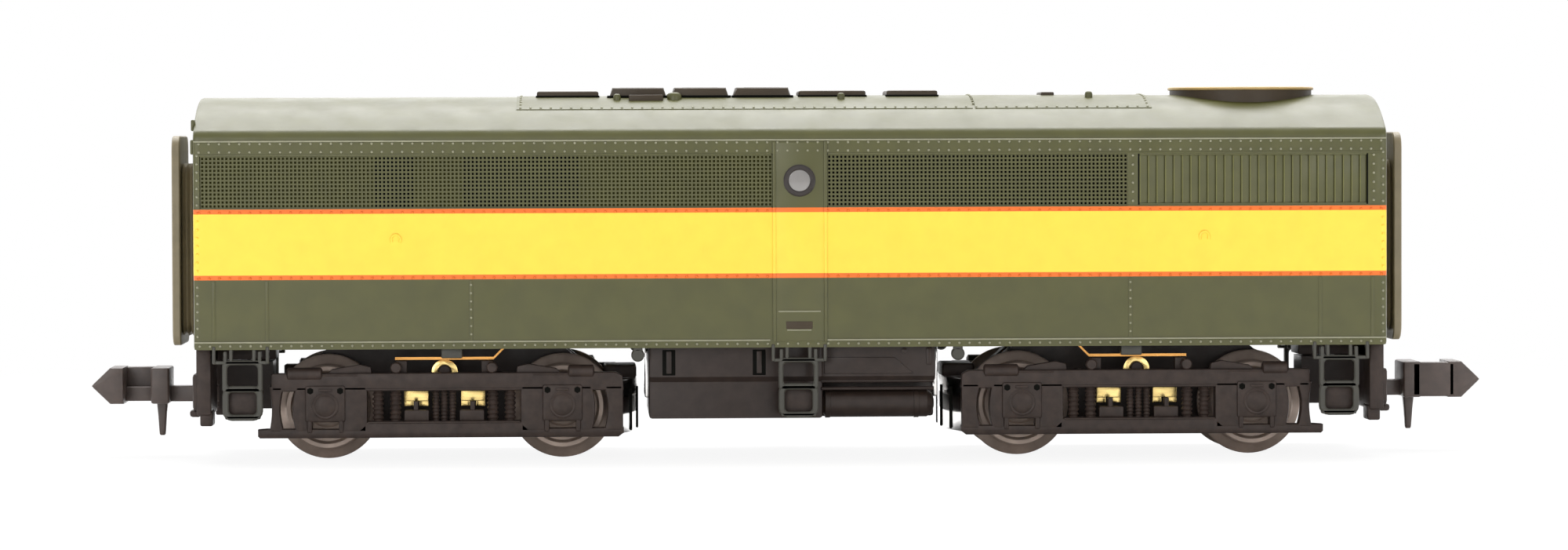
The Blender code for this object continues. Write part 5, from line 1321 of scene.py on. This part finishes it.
def make_world():
    """A white sky for what is seen, dimmer where it lights the object."""
    world = bpy.data.worlds.new("studio")
    bpy.context.scene.world = world
    world.use_nodes = True
    sky = world.node_tree.nodes["Background"]
    sky.inputs["Color"].default_value = (1.0, 1.0, 1.0, 1.0)
    world.node_tree.links.new(light_path_white(world.node_tree, WORLD_LEVEL), sky.inputs["Strength"])


def floor_finish():
    """Pale matt floor that glows white to the camera, less so near the object, where its shadow shows."""
    sheet = Sheet("floor_white")
    tone = sheet.spread(sheet.noise(6.0), 0.0, 1.0)
    pale = sheet.blend(tone, (0.90, 0.90, 0.90, 1.0), (0.93, 0.93, 0.93, 1.0))
    sheet.join(pale, sheet.shader.inputs["Base Color"])
    sheet.shader.inputs["Roughness"].default_value = 0.6
    glow = sheet.add("ShaderNodeEmission")
    rays = sheet.add("ShaderNodeLightPath")
    reach = sheet.add("ShaderNodeVectorMath", operation="LENGTH")
    sheet.join(sheet.place, reach.inputs[0])
    fade = sheet.add("ShaderNodeMapRange", interpolation_type="SMOOTHSTEP")
    for key, value in (("From Min", 0.05), ("From Max", 0.16), ("To Min", 0.90), ("To Max", 1.0)):
        fade.inputs[key].default_value = value
    sheet.join(reach.outputs["Value"], fade.inputs["Value"])
    share = sheet.number("MULTIPLY", rays.outputs["Is Camera Ray"], fade.outputs["Result"])
    mixed = sheet.add("ShaderNodeMixShader")
    sheet.join(share, mixed.inputs["Fac"])
    sheet.join(sheet.shader.outputs["BSDF"], mixed.inputs[1])
    sheet.join(glow.outputs["Emission"], mixed.inputs[2])
    sheet.join(mixed.outputs["Shader"], sheet.tree.nodes["Material Output"].inputs["Surface"])
    return sheet.material


def make_floor():
    """A flat grid of eight by eight squares, three metres across."""
    steps = 9
    spread = np.linspace(-1.5, 1.5, steps)
    gx, gy = np.meshgrid(spread, spread, indexing="ij")
    index = np.arange(steps * steps).reshape(steps, steps)
    quads = np.stack([index[:-1, :-1], index[1:, :-1], index[1:, 1:], index[:-1, 1:]], -1).reshape(-1, 4)
    mesh = bpy.data.meshes.new("floor")
    mesh.from_pydata(np.stack([gx, gy, np.zeros_like(gx)], -1).reshape(-1, 3).tolist(), [], quads.tolist())
    mesh.materials.append(floor_finish())
    floor = bpy.data.objects.new("floor", mesh)
    bpy.context.scene.collection.objects.link(floor)


def make_camera():
    """A long lens in front of the near side, turned by yaw, pitch and roll in that order."""
    data = bpy.data.cameras.new("camera")
    data.sensor_fit = "HORIZONTAL"
    data.sensor_width = 36.0
    data.lens = CAMERA_LENS
    data.clip_start = 0.01
    yaw, pitch, roll = np.radians(CAMERA_TURN)
    right = np.array([math.cos(yaw), math.sin(yaw), 0.0])
    level = np.array([-math.sin(yaw), math.cos(yaw), 0.0])
    ahead = level * math.cos(pitch) + np.array([0, 0, math.sin(pitch)])
    up = -level * math.sin(pitch) + np.array([0, 0, math.cos(pitch)])
    camera = bpy.data.objects.new("camera", data)
    stand(camera, right * math.cos(roll) - up * math.sin(roll), right * math.sin(roll) + up * math.cos(roll),
          -ahead, np.array(CAMERA_PLACE) * MM)
    bpy.context.scene.camera = camera


def make_stage():
    """White floor that keeps the shadow, pale world, five soft lamps and the camera."""
    bpy.context.scene.view_settings.view_transform = "Standard"
    make_world()
    make_floor()
    for row in LAMPS:
        lamp(*row)
    make_camera()


# Operators

class BOOSTER_OT_finishes(bpy.types.Operator):
    """Make the paints, plastics and metals"""
    bl_idname = "booster.finishes"
    bl_label = "Finishes"

    def execute(self, context):
        make_finishes()
        return {"FINISHED"}


class BOOSTER_OT_stage(bpy.types.Operator):
    """Make the floor, world, lamps and camera"""
    bl_idname = "booster.stage"
    bl_label = "Stage"

    def execute(self, context):
        make_stage()
        return {"FINISHED"}


class BOOSTER_OT_hull(bpy.types.Operator):
    """Make the hull, ends, steps and pilots"""
    bl_idname = "booster.hull"
    bl_label = "Body shell"

    def execute(self, context):
        make_hull()
        return {"FINISHED"}


class BOOSTER_OT_side_detail(bpy.types.Operator):
    """Make the rivets, meshes, shutters and loops"""
    bl_idname = "booster.side_detail"
    bl_label = "Side detail"

    def execute(self, context):
        make_side_detail()
        return {"FINISHED"}


class BOOSTER_OT_roof(bpy.types.Operator):
    """Make the roof hatches, lids and fan"""
    bl_idname = "booster.roof"
    bl_label = "Roof"

    def execute(self, context):
        make_roof()
        make_fan()
        return {"FINISHED"}


class BOOSTER_OT_portholes(bpy.types.Operator):
    """Make the portholes"""
    bl_idname = "booster.portholes"
    bl_label = "Portholes"

    def execute(self, context):
        make_portholes()
        return {"FINISHED"}


class BOOSTER_OT_diaphragms(bpy.types.Operator):
    """Make the end diaphragms"""
    bl_idname = "booster.diaphragms"
    bl_label = "Diaphragms"

    def execute(self, context):
        make_diaphragms()
        return {"FINISHED"}


class BOOSTER_OT_tank(bpy.types.Operator):
    """Make the battery box and air tanks"""
    bl_idname = "booster.tank"
    bl_label = "Tanks"

    def execute(self, context):
        make_tank()
        return {"FINISHED"}


class BOOSTER_OT_trucks(bpy.types.Operator):
    """Make the sideframes and brass pickups"""
    bl_idname = "booster.trucks"
    bl_label = "Trucks"

    def execute(self, context):
        make_truck_frames()
        make_pickups()
        return {"FINISHED"}


class BOOSTER_OT_wheels(bpy.types.Operator):
    """Make the wheels"""
    bl_idname = "booster.wheels"
    bl_label = "Wheels"

    def execute(self, context):
        make_wheels()
        return {"FINISHED"}


class BOOSTER_OT_couplers(bpy.types.Operator):
    """Make the hook couplers and their coils"""
    bl_idname = "booster.couplers"
    bl_label = "Couplers"

    def execute(self, context):
        make_couplers()
        return {"FINISHED"}


class BOOSTER_OT_kept_nodes(bpy.types.Operator):
    """Give the kept CAD pieces their finishes"""
    bl_idname = "booster.kept_nodes"
    bl_label = "Chassis, motor and gears"

    def execute(self, context):
        dress_kept_nodes()
        return {"FINISHED"}


OPERATORS = (BOOSTER_OT_finishes, BOOSTER_OT_stage, BOOSTER_OT_hull, BOOSTER_OT_side_detail,
             BOOSTER_OT_roof, BOOSTER_OT_portholes, BOOSTER_OT_diaphragms, BOOSTER_OT_tank,
             BOOSTER_OT_trucks, BOOSTER_OT_wheels, BOOSTER_OT_couplers, BOOSTER_OT_kept_nodes)


class BOOSTER_PT_panel(bpy.types.Panel):
    """Lists the sizes, colours and steps in the sidebar"""
    bl_idname = "BOOSTER_PT_panel"
    bl_label = "Booster unit"
    bl_space_type = "VIEW_3D"
    bl_region_type = "UI"
    bl_category = "Booster"

    def draw(self, context):
        for operator in OPERATORS:
            self.layout.operator(operator.bl_idname)
        for group in ("booster_body", "booster_running", "booster_colours"):
            holder = getattr(context.scene, group)
            for key in holder.__annotations__:
                self.layout.prop(holder, key)


CLASSES = (BodySizes, RunningSizes, FinishColours, *OPERATORS, BOOSTER_PT_panel)


def register():
    """Register the classes and hang the sizes and colours on the scene."""
    for item in CLASSES:
        bpy.utils.register_class(item)
    bpy.types.Scene.booster_body = bpy.props.PointerProperty(type=BodySizes)
    bpy.types.Scene.booster_running = bpy.props.PointerProperty(type=RunningSizes)
    bpy.types.Scene.booster_colours = bpy.props.PointerProperty(type=FinishColours)


def unregister():
    """Undo what register did, in the other order."""
    del bpy.types.Scene.booster_colours
    del bpy.types.Scene.booster_running
    del bpy.types.Scene.booster_body
    for item in reversed(CLASSES):
        bpy.utils.unregister_class(item)


def main():
    register()
    for operator in OPERATORS:
        group, name = operator.bl_idname.split(".")
        getattr(getattr(bpy.ops, group), name)()


if __name__ == "__main__":
    main()
